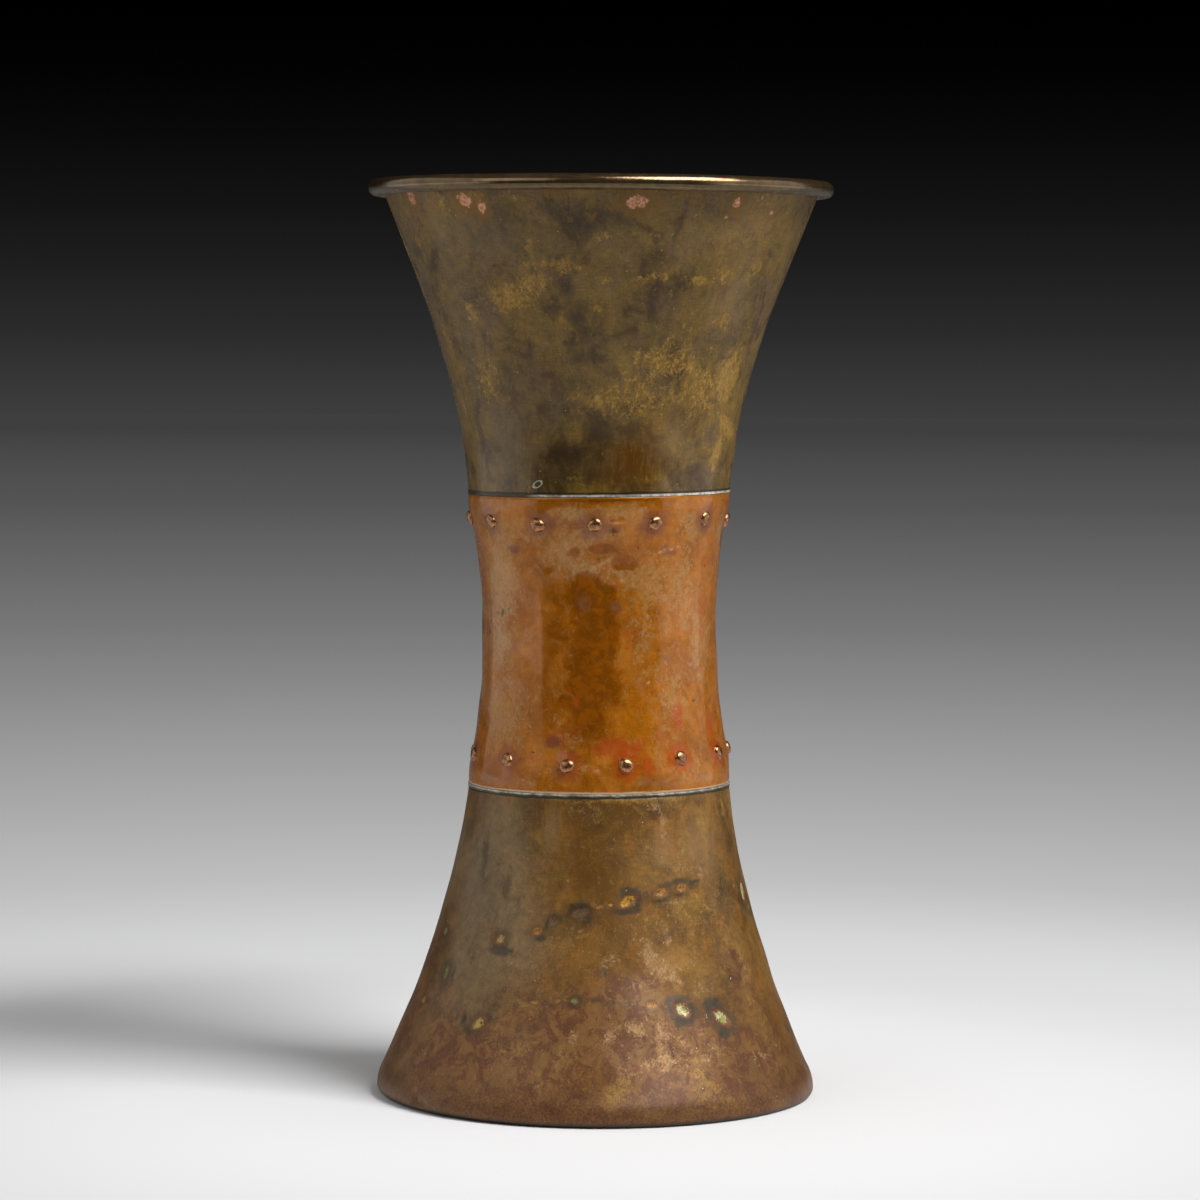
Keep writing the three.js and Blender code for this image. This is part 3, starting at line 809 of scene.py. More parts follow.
def upper_patina():
    f = Finish(bpy.data.materials.new("upper_patina"))
    browns = (OLIVE_BROWN, GREY_BROWN, UMBER)
    colour, patches, blotches, grain = mottled(f, browns, DARK_BROWN, 0.0, 1.25)
    # Painted reflection of the lamps: a grey veil, greyer on the left and warmer on the right
    upper_sheen = f.mix(f.side(-14, 20), srgb(106, 90, 68), srgb(136, 106, 68))
    upper_sheen = f.scaled(upper_sheen, f.step(blotches, 0.36, 0.64, 0.9, 1.1))
    colour = sheen_hazed(f, colour, patches, upper_sheen, 0.62)
    colour = patchy(
        f, colour, f.field("ochre"), 5, srgb(138, 102, 32), srgb(172, 134, 62), 1.3, 0.552, 0.85, 0.18
    )
    dusk = f.noise(7, 6, 0.66, 1.0, up=1.4, shift=0.3)
    grime = torn(f, f.field("grime"), dusk, blotches, 0.46, 0.8, 0.85, 0.26)
    colour = f.mix(grime, colour, srgb(52, 38, 20))
    streaks = f.noise(1.2, 5, 0.6, 0.3, up=8.0, shift=0.6)
    warm = f.field("warm") * f.step(streaks + dusk, 0.85, 1.15, 0.5, 1.0)
    colour = f.mix(warm, colour, srgb(88, 53, 2))
    # Brown drips under the rim, and bare copper where the patina has chipped off
    runs = f.step(f.noise(3.0, 7, 0.72, 0.6, up=1.9, shift=1.7), 0.55, 0.6)
    colour = f.mix(f.step(f.field("level"), 284, 295) * runs * 0.8, colour, srgb(126, 88, 24))
    chip = f.noise(1.8, 4, 0.65, 0.6, shift=2.7) * 2.6 + f.field("chip")
    colour = f.mix(f.step(chip, 4.6, 2.6, 0, 0.7), colour, srgb(122, 84, 26))
    rosy = two_browns(f, grain * 0.6 + blotches * 0.4, 0.42, 0.6, (160, 104, 66), (226, 168, 128))
    colour = f.mix(f.step(chip, 2.42, 2.24), colour, rosy)
    # Ring marks: a pale one and a dark one
    pale = f.field("ring_pale")
    off = f.math("ABSOLUTE", f.field("ring") + (blotches - 0.5) * 0.9 - 1.0)
    colour = f.mix(f.step(off, 0.24, 0.06) * pale * 0.85, colour, srgb(188, 184, 160))
    colour = f.mix(f.step(off, 0.24, 0.08) * (1.0 - pale) * 0.4, colour, srgb(44, 46, 36))
    colour = sprinkled(f, colour, 2.6, 0.56, srgb(200, 166, 112))
    # Painted shade along the seam's groove
    colour = seam_shade(f, colour, blotches, 0.6)
    # The polished bead of the rim, paler above as a painted reflection
    bead = f.step(f.field("level"), 299.4, 301.2)
    polish_and_sheen = two_browns(f, f.field("level") + blotches, 302.0, 304.0, (102, 84, 54), (128, 102, 70))
    polish_and_sheen = f.scaled(polish_and_sheen, f.step(blotches, 0.38, 0.62, 0.8, 1.15))
    polish_and_sheen = patchy(f, polish_and_sheen, 0.1, 4, srgb(120, 92, 52), srgb(150, 122, 78), 5.2, 0.6, 0.55)
    colour = f.mix(bead * 0.92, colour, polish_and_sheen)
    inner = hidden(f, srgb(74, 54, 26), srgb(104, 78, 40), patches, blotches, grain)
    return finished(
        f, colour, inner, patina_gloss(f, patches, grain) - bead * 0.3,
        Normal=f.relief((patches, 0.12), (blotches, 0.08), (grain, 0.025)),
        Metallic=f.step(bead, 0, 1, 0.25, 0.85), Coat_Weight=0.65, Coat_Roughness=0.19,
    )


def lower_patina():
    f = Finish(bpy.data.materials.new("lower_patina"))
    browns = (srgb(124, 90, 36), srgb(114, 84, 44), srgb(132, 88, 32))
    colour, patches, blotches, grain = mottled(f, browns, srgb(90, 60, 22), 0.4, 1.3)
    # Painted reflection of the lamps: a grey veil, greyer on the left and warmer on the right
    lower_sheen = f.scaled(srgb(126, 108, 80), f.step(blotches * 0.6 + grain * 0.4, 0.4, 0.6, 0.84, 1.16))
    lower_sheen = f.mix(f.side(-8, 18), lower_sheen, srgb(150, 114, 74))
    colour = sheen_hazed(f, colour, patches, lower_sheen, 0.7)
    dusk = f.noise(6, 6, 0.66, 1.0, up=1.4, shift=0.3)
    # Dark patches, among them painted shade below the band and along the foot
    shade = torn(f, f.field("shade"), dusk, blotches, 0.52, 0.72, 0.65)
    colour = f.mix(shade, colour, srgb(66, 50, 36))
    # Red-brown towards the foot, partly painted shade: lighter on the left, darker on the right, and darker
    # where the rust marks lie
    warm = f.step(f.field("level"), 84, 14, 0, 0.4) + f.field("rust_and_shade") * 0.5
    warm = f.step(warm + f.noise(9, 7, 0.68, 0.9, shift=0.9) * 0.9, 0.6, 1.05, 0, 0.8)
    shaded_reds = two_browns(f, f.noise(6.5, 8, 0.74, 0.8, shift=1.9), 0.45, 0.55, (124, 86, 48), (96, 56, 36))
    shaded_reds = f.scaled(shaded_reds, f.step(blotches + grain, 0.7, 1.3, 0.84, 1.16))
    shaded_reds = f.mix(f.side(-26, 8), f.scaled(shaded_reds, 1.14), f.scaled(shaded_reds, 0.86))
    colour = f.mix(warm, colour, shaded_reds)
    amber = f.field("amber") * f.step(dusk + blotches, 0.8, 1.2, 0.4, 0.9)
    colour = f.mix(amber, colour, srgb(100, 64, 14))
    # Pale patches, partly painted highlight low on the right, and ochre patches
    for field, size, stain, fleck, *rest in (
        ("pale", 4, (148, 112, 70), (176, 140, 98), 1.9, 0.555, 0.72, 0.155),
        ("ochre", 4.5, (138, 102, 44), (162, 126, 62), 1.3, 0.56, 0.7, 0.155),
    ):
        colour = patchy(f, colour, f.field(field), size, srgb(*stain), srgb(*fleck), *rest)
    # Soot round the pits, with painted shade on the dark side of each pit
    smoke = (f.noise(2.6, 6, 0.66, 0.6, shift=2.3) - 0.5) * 1.2
    soot_and_shade = f.step(f.field("soot_and_shade") + smoke, 0.12, 0.95, 0, 0.9)
    colour = f.mix(soot_and_shade * 0.82, colour, two_browns(f, blotches, 0.4, 0.6, (44, 38, 26), (62, 62, 48)))
    # Pits: a brown ring round a core of orange, yellow or green
    pit = f.field("pit") + (f.noise(1.3, 5, 0.7, 0.8, shift=2.9) - 0.5) * 2.2
    kind = f.field("kind")
    lively, green = f.step(kind, 0.15, 0.3), f.step(kind, 0.5, 0.65)
    halo = f.step(pit, 3.6, 1.5, 0, 0.7) * f.math("MAXIMUM", green, 0.4)
    colour = f.mix(halo, colour, srgb(62, 56, 42))
    ring = f.mix(lively, srgb(70, 50, 26), f.mix(green, srgb(112, 68, 32), srgb(134, 70, 40)))
    colour = f.mix(f.step(pit, 1.8, 1.1, 0, 0.55), colour, ring)
    core = srgb(104, 80, 54)
    for start, end, tint in (
        (0.15, 0.3, srgb(156, 110, 56)), (0.4, 0.5, srgb(182, 130, 48)), (0.5, 0.6, srgb(170, 150, 86)),
        (0.62, 0.68, srgb(214, 200, 168)),
        (0.69, 0.75, two_browns(f, blotches, 0.45, 0.55, (146, 148, 84), (206, 198, 150))),
        (0.8, 0.9, srgb(104, 124, 60)),
    ):
        core = f.mix(f.step(kind, start, end), core, tint)
    holes = f.step(f.noise(1.1, 5, 0.7, 0.8, shift=3.7), 0.53, 0.6, 0, 0.85)
    core = f.mix(holes * lively, core, srgb(64, 62, 26))
    core = f.scaled(core, f.step(grain, 0.35, 0.65, 0.75, 1.15))
    colour = f.mix(f.step(pit, 1.12, 0.75, 0, 0.92), colour, core)
    colour = sprinkled(f, colour, 2.6, 0.58, srgb(200, 172, 130))
    # Painted shade along the seam's groove
    colour = seam_shade(f, colour, blotches, 0.5)
    # Painted shade: the foot is darker, and darkest where it meets the floor
    low = f.step(f.field("level") + patches * 22, 30, 12, 0, 0.66)
    colour = f.mix(low, colour, two_browns(f, grain, 0.4, 0.6, (76, 48, 28), (108, 72, 42)))
    colour = f.mix(f.step(f.field("level"), 2.0, 0.4, 0, 0.8), colour, SHADE_BLACK_GREEN)
    inner = hidden(f, srgb(70, 50, 26), srgb(100, 74, 40), patches, blotches, grain)
    return finished(
        f, colour, inner, patina_gloss(f, patches, grain),
        Normal=f.relief((patches, 0.12), (blotches, 0.08), (grain, 0.025)),
        Metallic=0.25, Coat_Weight=0.5, Coat_Roughness=0.38,
    )


def band_copper():
    f = Finish(bpy.data.materials.new("band_copper"))
    coppers = (srgb(168, 98, 12), srgb(160, 92, 16), srgb(180, 110, 34))
    colour, patches, blotches, grain = mottled(f, coppers, srgb(134, 74, 12), 0.7, 0.7)
    low_row = f.field("low_row")
    # Pale patches, partly painted light: the big ones down the left side pale the band where the lamps' veil
    # lies
    colour = patchy(
        f, colour, f.field("pale"), 4, srgb(162, 120, 68), srgb(180, 134, 80), 2.2, 0.53, 0.8, 0.19
    )
    deep = ragged(f, "deep", f.noise(6, 6, 0.62, 0.7, shift=0.9), blotches, 0.64, 0.8, 0.85)
    colour = f.mix(deep, colour, two_browns(f, blotches, 0.42, 0.58, (116, 62, 0), (144, 76, 0)))
    red = ragged(f, "red", f.noise(4, 6, 0.65, 0.8, shift=1.1), grain, 0.62, 1.0, 0.6)
    colour = f.mix(red, colour, srgb(176, 62, 28))
    stain = ragged(f, "stain", f.noise(4, 6, 0.65, 0.8, shift=1.5), grain, 0.62, 1.0, 0.7)
    colour = f.mix(stain, colour, srgb(112, 64, 48))
    colour = f.mix(ragged(f, "haze_and_sheen", patches, blotches, 0.6, 1.1, 0.45), colour, srgb(134, 104, 78))
    # Round each rivet the copper is purple and red from the heat of hammering
    ring = f.field("rivet") + (f.noise(5, 5, 0.65, shift=2.5) - 0.5) * 4.0
    heat = f.mix(f.side(-18, 4), srgb(136, 72, 44), srgb(172, 62, 24))
    colour = f.mix(f.step(ring, 3.0, 1.2, 0, 0.6), colour, f.mix(low_row, srgb(124, 72, 54), heat))
    smudge = ragged(f, "smudge", grain, f.noise(0.8, 3, 0.6, shift=1.8), 0.68, 0.86, 0.85)
    colour = f.mix(smudge, colour, srgb(70, 52, 22))
    # Small dark dots and short lines, as old copper has
    colour = patchy(f, colour, 0.0, 3, srgb(150, 80, 26), srgb(122, 66, 30), 6.2, 0.6, 0.5)
    dots = f.step(f.noise(1.5, 3, 0.6, 0.4, up=1.7, shift=2.1), 0.28, 0.36, 0.3, 0)
    colour = f.mix(dots, colour, srgb(96, 50, 14))
    colour = sprinkled(f, colour, 3.4, 0.6, srgb(222, 176, 112))
    # The cut edges: golden at the top, pale at the bottom
    edge = f.field("edge") + (blotches - 0.5) * 0.8 - low_row * 0.2
    cut = f.mix(low_row, srgb(168, 112, 36), srgb(206, 176, 136))
    colour = f.mix(f.step(edge, 0.55, 0.3, 0, 0.8), colour, cut)
    # Painted glints: scratches of bare copper, painted bright as if catching the light
    glint = f.field("scratch") * f.step(grain, 0.4, 0.6, 0.3, 1.0)
    colour = f.mix(glint, colour, srgb(226, 176, 128))
    inner = hidden(f, srgb(78, 48, 18), srgb(124, 80, 36), patches, blotches, grain)
    return finished(
        f, colour, inner, f.step(patches, 0.35, 0.65, 0.26, 0.38) + stain * 0.15,
        Normal=f.relief((patches, 0.1), (blotches, 0.05), (grain, 0.01)),
        Metallic=0.3, Coat_Weight=0.7, Coat_Roughness=0.1,
    )


def plain_metal(name, dark, light, rough, metallic, size=2.0, coat=0.2, worn=1.0, tarnished_and_shaded=False):
    """Copper, brass or solder without drawn marks"""
    f = Finish(bpy.data.materials.new(name))
    dark, light = srgb(*dark), srgb(*light)
    middle = f.noise(size, 5, 0.6, 0.4)
    fine = f.noise(size / 5, 4, 0.6, shift=0.5)
    colour = f.mix(f.step(middle, 0.36, 0.64), dark, light)
    colour = f.mix(f.step(fine, 0.56, 0.7, 0, 0.4 * worn), colour, tuple(0.5 * c for c in dark))
    if tarnished_and_shaded:
        # Tin turns nearly black where it is dull, and the same near-black is painted shade along the seams;
        # brown where patina has crept over it
        dull_and_shade = f.field("dull_and_shade")
        colour = f.mix(dull_and_shade, colour, srgb(60, 54, 38))
        colour = f.mix(f.step(dull_and_shade, 1.1, 1.8), colour, srgb(72, 60, 36))
    f.set(
        Base_Color=colour, Metallic=metallic, Coat_Weight=coat, Coat_Roughness=0.15,
        Roughness=f.step(middle, 0.3, 0.7, rough - 0.06, rough + 0.1), Normal=f.relief((fine, 0.03 * worn)),
    )
    return f.owner


upper_finish = upper_patina()
lower_finish = lower_patina()
band_finish = band_copper()
rivet_finish = plain_metal("rivet_copper", (140, 90, 54), (186, 132, 90), 0.2, 0.85, 1.2, 0.35, 0.25)
solder_finish = plain_metal("solder", (168, 160, 142), (238, 232, 218), 0.34, 0.5, 1.6, tarnished_and_shaded=True)
floor_finish = plain_metal("floor_copper", (84, 58, 34), (124, 92, 54), 0.5, 0.5, 9)
wire_finish = plain_metal("wire_brass", (110, 80, 40), (150, 112, 60), 0.45, 0.8)


# Pieces

def turned_piece(name, section, material, slot, node, **options):
    piece(name, turned(name, section, **options), material, slot, node)


def all_round(step):
    """Angles all the way round, a step in degrees apart"""
    return np.radians(np.arange(0, 360, step))


def raised(theta, level, seed):
    """What hammering leaves on a trumpet, in short waves and long ones"""
    return swell(theta, level, seed, 16, 0.1) + swell(theta, level, seed + 1, 45, 0.12)


upper_pieces = [(part, 1, 2) for part in neck_pieces(UPPER_ROW, UPPER_SEAM, 1)]
upper_pieces += [(UPPER_SIDE, 1, 7), (CURL, 4, 1)]


def upper_relief(theta, level, face):
    held = fade(level, UPPER_SHOULDER, UPPER_SHOULDER + 12) * (1 - 0.8 * fade(level, HEIGHT - 14, HEIGHT - 4))
    return held * raised(theta, level, 11)


turned_piece(
    "upper_trumpet_raised", sheet(upper_pieces), upper_finish, "patina_upper", "upper_trumpet",
    relief=upper_relief, fields={
        "outside": rim_field, "level": level_field, "seam": seam_field(UPPER_SHOULDER),
        "ochre": spot_field(UPPER_OCHRE), "grime": spot_field(UPPER_GRIME), "warm": spot_field(UPPER_WARM),
        "haze_and_sheen": spot_field(UPPER_HAZE_AND_SHEEN), "chip": reach_field(UPPER_CHIPS),
        "ring": reach_field(UPPER_RINGS), "ring_pale": kind_field(UPPER_RINGS),
    },
)
wire_circle = arc(WIRE_CENTRE, WIRE_RADIUS, 0, 2 * math.pi, 16)[:-1]
turned_piece(
    "rim_wire_round", Section(wire_circle, np.zeros((16, 2)), np.ones(16)),
    wire_finish, "wire", "rim_wire", columns=all_round(2.0),
)

# The band: its cut edges are eased, and its hollow runs softly into the collars
EASE_HEIGHT, EASE_DEPTH, BLEND = 0.25, 0.18, 2.4
band_levels = np.concatenate([
    [WAIST_LEVEL - BAND_HALF, WAIST_LEVEL - BAND_HALF + EASE_HEIGHT],
    np.linspace(WAIST_LEVEL - HOLLOW_HALF - 3, WAIST_LEVEL + HOLLOW_HALF + 3, 126),
    [WAIST_LEVEL + BAND_HALF - EASE_HEIGHT, WAIST_LEVEL + BAND_HALF],
])
band_face = np.mean([waist_face(0, band_levels + step) for step in np.linspace(-BLEND, BLEND, 9)], axis=0)
band_path = np.stack([band_face, band_levels], axis=1)
band_path[[0, -1], 0] -= EASE_DEPTH
BAND_DENTS = spots([
    (617, 513.4, 2.4, 0.8, -0.16), (617.5, 518, 2.2, 0.8, 0.2), (618, 522.4, 2.4, 0.7, -0.14),
    (603, 549, 4, 1.6, 0.14), (622, 561, 3, 2.4, 0.16), (602, 563, 3.6, 0.9, -0.14, 28),
    (567, 547, 1, 3, -0.12, 20), (590, 552, 1.2, 1.2, -0.12), (560, 548, 5, 2.2, -0.08), (575, 528, 4, 2, 0.08),
    (668, 549, 4, 0.8, 0.12, 20), (640, 535, 5, 3, 0.08), (548, 566, 3, 1.6, 0.14, 30),
    (610, 578, 4, 1.4, -0.12, -35), (634, 590, 3, 2, 0.12), (585, 553, 1.6, 2.6, 0.12, -20),
    (548, 530, 3, 1.2, -0.1, 15), (655, 572, 3, 1.4, -0.1, 30), (570, 512, 3, 1.2, 0.12), (540, 514, 3, 1, -0.1),
    (640, 511, 3, 1, 0.1), (690, 540, 4, 4, 0.08), (585, 635, 10, 8, 0.08), (640, 660, 7, 6, 0.08),
    (520, 560, 7, 5, 0.08), (560, 505.5, 8, 0.9, -0.07), (600, 506, 9, 0.9, 0.07), (575, 755, 4, 3, 0.08),
    (655, 725, 5, 4, 0.08),
]) + back_spots(61, 14, 112, 194, (3, 8), (0.05, 0.14))
BAND_STAINS = spots([
    (513, 549, 3.2, 1.8, 1.2), (668, 551, 4.4, 2.4, 1.1), (553, 742, 3.4, 2.4, 1.3), (612, 530, 3, 1.6, 0.9),
    (575, 524, 5, 2, 0.7), (640, 528, 6, 3, 0.5), (700, 520, 5, 6, 0.4), (555, 522, 4, 3, 0.5),
    (583, 603, 4, 3, 0.5), (690, 700, 3, 5, 0.3), (494, 735, 2, 6, 0.5), (570, 655, 4, 6, 0.3),
    (480, 525, 2, 6, 0.4),
]) + back_spots(62, 16, 108, 196, (2, 7), (0.4, 1.0))
BAND_DEEP = spots([
    (594, 640, 9, 16, 0.8), (590, 690, 8, 14, 0.7), (608, 600, 8, 6, 0.4), (603, 498, 17, 1.6, 1.3),
    (603, 549, 4, 1.5, 1.9), (622, 562, 2.8, 2.1, 1.9), (577, 592, 6, 5, 0.6), (560, 690, 5, 10, 0.3),
    (622, 690, 5, 6, 0.4), (586, 732, 6, 8, 0.5), (552, 625, 3, 10, 0.4), (590, 582, 4, 3, 0.5),
    (575, 552, 2.4, 1.6, 0.9), (633, 566, 1.8, 2, 0.9),
]) + back_spots(65, 16, 108, 196, (4, 12), (0.4, 0.9))
BAND_RED = spots([
    (678, 718, 2.4, 5.6, 1.2), (710, 727, 4, 7, 1), (648, 766, 2.2, 4.4, 1.2), (630, 748, 5, 3, 1.1),
    (660, 737, 6, 3, 0.6), (702, 610, 3, 14, 0.7), (630, 634, 5, 4, 0.7), (575, 703, 4, 3, 0.6),
    (560, 735, 9, 4, 0.7), (600, 750, 4, 3, 0.8), (700, 555, 5, 5, 0.4), (650, 690, 10, 5, 0.4),
    (694, 660, 4, 8, 0.4), (677, 560, 4, 6, 0.5), (532, 758, 3, 2, 0.5), (550, 700, 4, 3, 0.4),
    (613, 745, 4, 4, 0.7),
]) + back_spots(63, 12, 106, 190, (3, 9), (0.4, 0.9))
BAND_HAZE = spots([
    (583, 602, 3.4, 4, 0.9), (615, 607, 3.4, 2.6, 1), (666, 657, 2.6, 4, 1.1), (652, 782, 8, 1.8, 1),
    (702, 776, 4, 2, 0.8), (640, 640, 4, 4, 0.4), (500, 680, 6, 14, 0.5), (645, 700, 4, 3, 0.4),
    (500, 610, 5, 10, 0.4),
]) + back_spots(66, 12, 106, 196, (3, 9), (0.4, 0.9))
# Pale patches; the big ones down the left side are partly painted light
BAND_PALE_AND_SHEEN = spots([
    (575, 515, 8, 3, 0.9), (628, 512, 8, 3, 0.8), (590, 535, 8, 3, 0.9), (560, 550, 7, 5, 0.9),
    (585, 568, 7, 3, 0.8), (630, 572, 7, 4, 0.9), (650, 590, 5, 7, 0.6), (680, 580, 7, 12, 0.7),
    (700, 640, 6, 16, 0.6), (672, 700, 7, 10, 0.6), (500, 560, 8, 14, 0.8), (500, 640, 8, 18, 0.7),
    (505, 720, 9, 10, 0.8), (520, 530, 8, 4, 0.5), (690, 522, 6, 4, 0.6), (575, 735, 6, 4, 0.6),
    (690, 770, 8, 4, 0.6), (560, 770, 10, 3, 0.5), (640, 640, 4, 10, 0.4), (720, 530, 3, 5, 0.8),
]) + back_spots(67, 22, 106, 198, (4, 10), (0.5, 0.9))
BAND_SMUDGES = spots([
    (503, 613, 0.7, 1.6, 1.3, -25), (498, 613, 2.2, 0.5, 1.1), (509, 609, 1.2, 0.5, 1, 20),
    (533, 752, 1.2, 0.6, 1), (615, 531, 1.6, 0.5, 1.1, -20), (613, 534, 0.5, 1, 0.9), (693, 700, 1.4, 1, 0.7),
    (526, 506, 0.8, 0.4, 1), (705, 566, 0.8, 0.8, 0.8), (638, 548, 0.5, 0.8, 0.9), (689, 561, 0.6, 0.4, 0.9),
]) + back_spots(64, 9, 106, 196, (0.6, 1.8), (0.7, 1.2))
BAND_SCRATCHES = spots([
    (662, 551, 2.4, 0.28, 0.9, 24), (672, 549, 3.4, 0.22, 0.8, 14), (617, 513, 2.6, 0.3, 0.5),
    (618, 522.6, 2.4, 0.3, 0.5), (602, 563, 3.8, 0.35, 0.35, 28), (622, 581, 0.5, 0.4, 0.9),
    (648, 682, 0.5, 0.4, 1), (571, 655, 0.6, 0.4, 0.5), (597, 771, 0.9, 0.4, 0.7), (567, 546, 0.4, 2.4, 0.3, 18),
    (592, 538, 1.6, 0.3, 0.4, -30),
])


# The swelling round each rivet, where the hammer has drawn the sheet
MOUND_HEIGHT, MOUND_REACH = 0.5, 3.3


def band_relief(theta, level, face):
    held = fade(np.abs(level - WAIST_LEVEL), BAND_HALF - 1, BAND_HALF - 8)
    mounds = np.zeros_like(level)
    for place in UPPER_RIVETS + LOWER_RIVETS:
        across, up = apart(theta, level, place, float(side_radius(place[1])))
        mounds += MOUND_HEIGHT * np.exp(-(across**2 + up**2) / MOUND_REACH**2)
    crumple = fade(level, 168, 186) * swell(theta, level, 23, 3.6, 0.028, BAND_RADIUS)
    short, long = (swell(theta, level, *wave, BAND_RADIUS) for wave in ((21, 8.5, 0.1), (22, 34, 0.08)))
    return held * (short + long + crumple - strength_of(theta, level, BAND_DENTS)) + mounds


turned_piece(
    "waist_band_raised", sheet([(band_path, 1, 6)]), band_finish, "copper_band", "waist_band",
    relief=band_relief, fields={
        "outside": face_field, "rivet": rivet_field, "deep": spot_field(BAND_DEEP), "red": spot_field(BAND_RED),
        "stain": spot_field(BAND_STAINS), "smudge": spot_field(BAND_SMUDGES), "haze_and_sheen": spot_field(BAND_HAZE),
        "scratch": spot_field(BAND_SCRATCHES), "pale": spot_field(BAND_PALE_AND_SHEEN),
        "edge": lambda theta, level, face: BAND_HALF - np.abs(level - WAIST_LEVEL),
        "low_row": lambda theta, level, face: level < WAIST_LEVEL,
    },
)

TURN_CENTRE = (FOOT_RADIUS - FOOT_TURN, FOOT_TURN)
lower_pieces = [
    (line((FOOT_RADIUS - FOOT_LIP, 0), (TURN_CENTRE[0], 0), 6), 1, 2),
    (arc(TURN_CENTRE, FOOT_TURN, -math.pi / 2, 0, 6), 1, 2),
    (FOOT_EDGE, 1, 3),
    (LOWER_SIDE, 1, 8),
]
lower_pieces += [(part[::-1], 1, 2) for part in reversed(neck_pieces(LOWER_ROW, LOWER_SEAM, -1))]
# How deep a pit sinks, and how high, where and how wide its rim swells, as shares of its size
PIT_DEPTH, PIT_RIM, PIT_RIM_AT, PIT_RIM_WIDTH = 0.16, 0.07, 1.5, 0.55
FOOT_DENTS = spots([(414, 1098, 1.3, 2.6, 1.3), (421, 1103, 2.6, 1.6, 0.8)])


def lower_relief(theta, level, face):
    held = (1 - fade(level, LOWER_SHOULDER - 12, LOWER_SHOULDER)) * fade(level, 3, 12)
    pits = np.zeros_like(level)
    for mark in PITS:
        gap = reach_of(theta, level, mark)
        size = min(mark[1:3])
        rim = PIT_RIM * np.exp(-((gap - PIT_RIM_AT) / PIT_RIM_WIDTH) ** 2)
        pits += size * (rim - PIT_DEPTH * np.exp(-(gap**2)))
    dent = strength_of(theta, level, FOOT_DENTS) * fade(level, 0.5, 2.5)
    return held * raised(theta, level, 31) + pits * face - dent


turned_piece(
    "lower_trumpet_raised", sheet(lower_pieces), lower_finish, "patina_lower", "lower_trumpet",
    relief=lower_relief, fields={
        "outside": face_field, "level": level_field, "seam": seam_field(LOWER_SHOULDER),
        "ochre": spot_field(LOWER_OCHRE), "pale": spot_field(PALE_AND_SHEEN), "rust_and_shade": spot_field(RUST_AND_SHADE),
        "soot_and_shade": spot_field(SOOT_AND_SHADE), "shade": spot_field(SHADE), "haze_and_sheen": spot_field(LOWER_HAZE_AND_SHEEN),
        "amber": spot_field(LOWER_AMBER), "pit": reach_field(PITS), "kind": kind_field(PITS),
    },
)


def plain_section(corners, steps):
    """Closed section through the corners, with points strewn along each side"""
    sides = [np.linspace(a, b, steps, endpoint=False) for a, b in zip(corners, corners[1:] + corners[:1])]
    points = np.concatenate(sides)
    away = points - points.mean(axis=0)
    return Section(points, away / np.linalg.norm(away, axis=1)[:, None], np.ones(len(points)))


def solder_ring(name, seam, up, node, lumps, seed, dull_and_shade):
    """The bead of solder in the groove beside one end of the band, left rough by the iron"""
    start = seam - up * (GROOVE / 2 - 0.08)
    end = start + up * (GROOVE - 0.2)
    outside = COLLAR_RADIUS + SOLDER_STANDOUT
    inside = outside - SOLDER_DEPTH

    def relief(theta, level, face):
        fine, coarse = (swell(theta, level, *wave, lumps, SEAM_RADIUS) for wave in ((seed, 2.4), (seed + 1, 9)))
        return fine + coarse

    turned_piece(
        name, plain_section([(inside, start), (outside, start), (outside, end), (inside, end)], 5),
        solder_finish, "solder", node,
        columns=all_round(0.4), relief=relief, fields={"dull_and_shade": dull_and_shade}, sharp=60,
    )


def upper_dull_and_shade(theta, level, face):
    """The upper seam's solder: dark with painted shade on the left and along its top, tarnished round the back,
    and bright at the right
    """
    left, right = on_side(540, 490)[0], on_side(690, 490)[0]
    turn = (theta + math.pi) % (2 * math.pi) - math.pi
    near = 1 - fade(turn, left - 0.15, left + 0.05)
    behind = fade(np.abs(turn), 1.5, 1.9)
    front = 0.2 * (1 - fade(turn, right - 0.3, right)) + 0.8 * near * (1 - behind)
    back = behind * (0.4 + swell(theta, level, 71, 12, 0.3, SEAM_RADIUS))
    above = fade(level, UPPER_SEAM + 0.05, UPPER_SEAM + 0.3)
    crept = fade(level, UPPER_SEAM + 0.25, UPPER_SEAM + 0.5)
    return crept + np.clip(front + back + above, 0, 1)


def lower_dull_and_shade(theta, level, face):
    """The lower seam's solder shows as a thin pale line beside the band, and here and there below it; the rest
    is dark with painted shade under the band
    """
    beside = fade(level, LOWER_SEAM, LOWER_SEAM + 0.3)
    crept = 1 - fade(level, LOWER_SEAM - 0.55, LOWER_SEAM - 0.25)
    return crept + np.clip(0.97 - 0.75 * beside + swell(theta, level, 72, 3, 0.1, SEAM_RADIUS), 0, 1)


solder_ring("upper_solder_bead", UPPER_SEAM, 1, "upper_seam_solder", 0.015, 81, upper_dull_and_shade)
solder_ring("lower_solder_bead", LOWER_SEAM, -1, "lower_seam_solder", 0.03, 83, lower_dull_and_shade)

RIVET_SIDES = 28


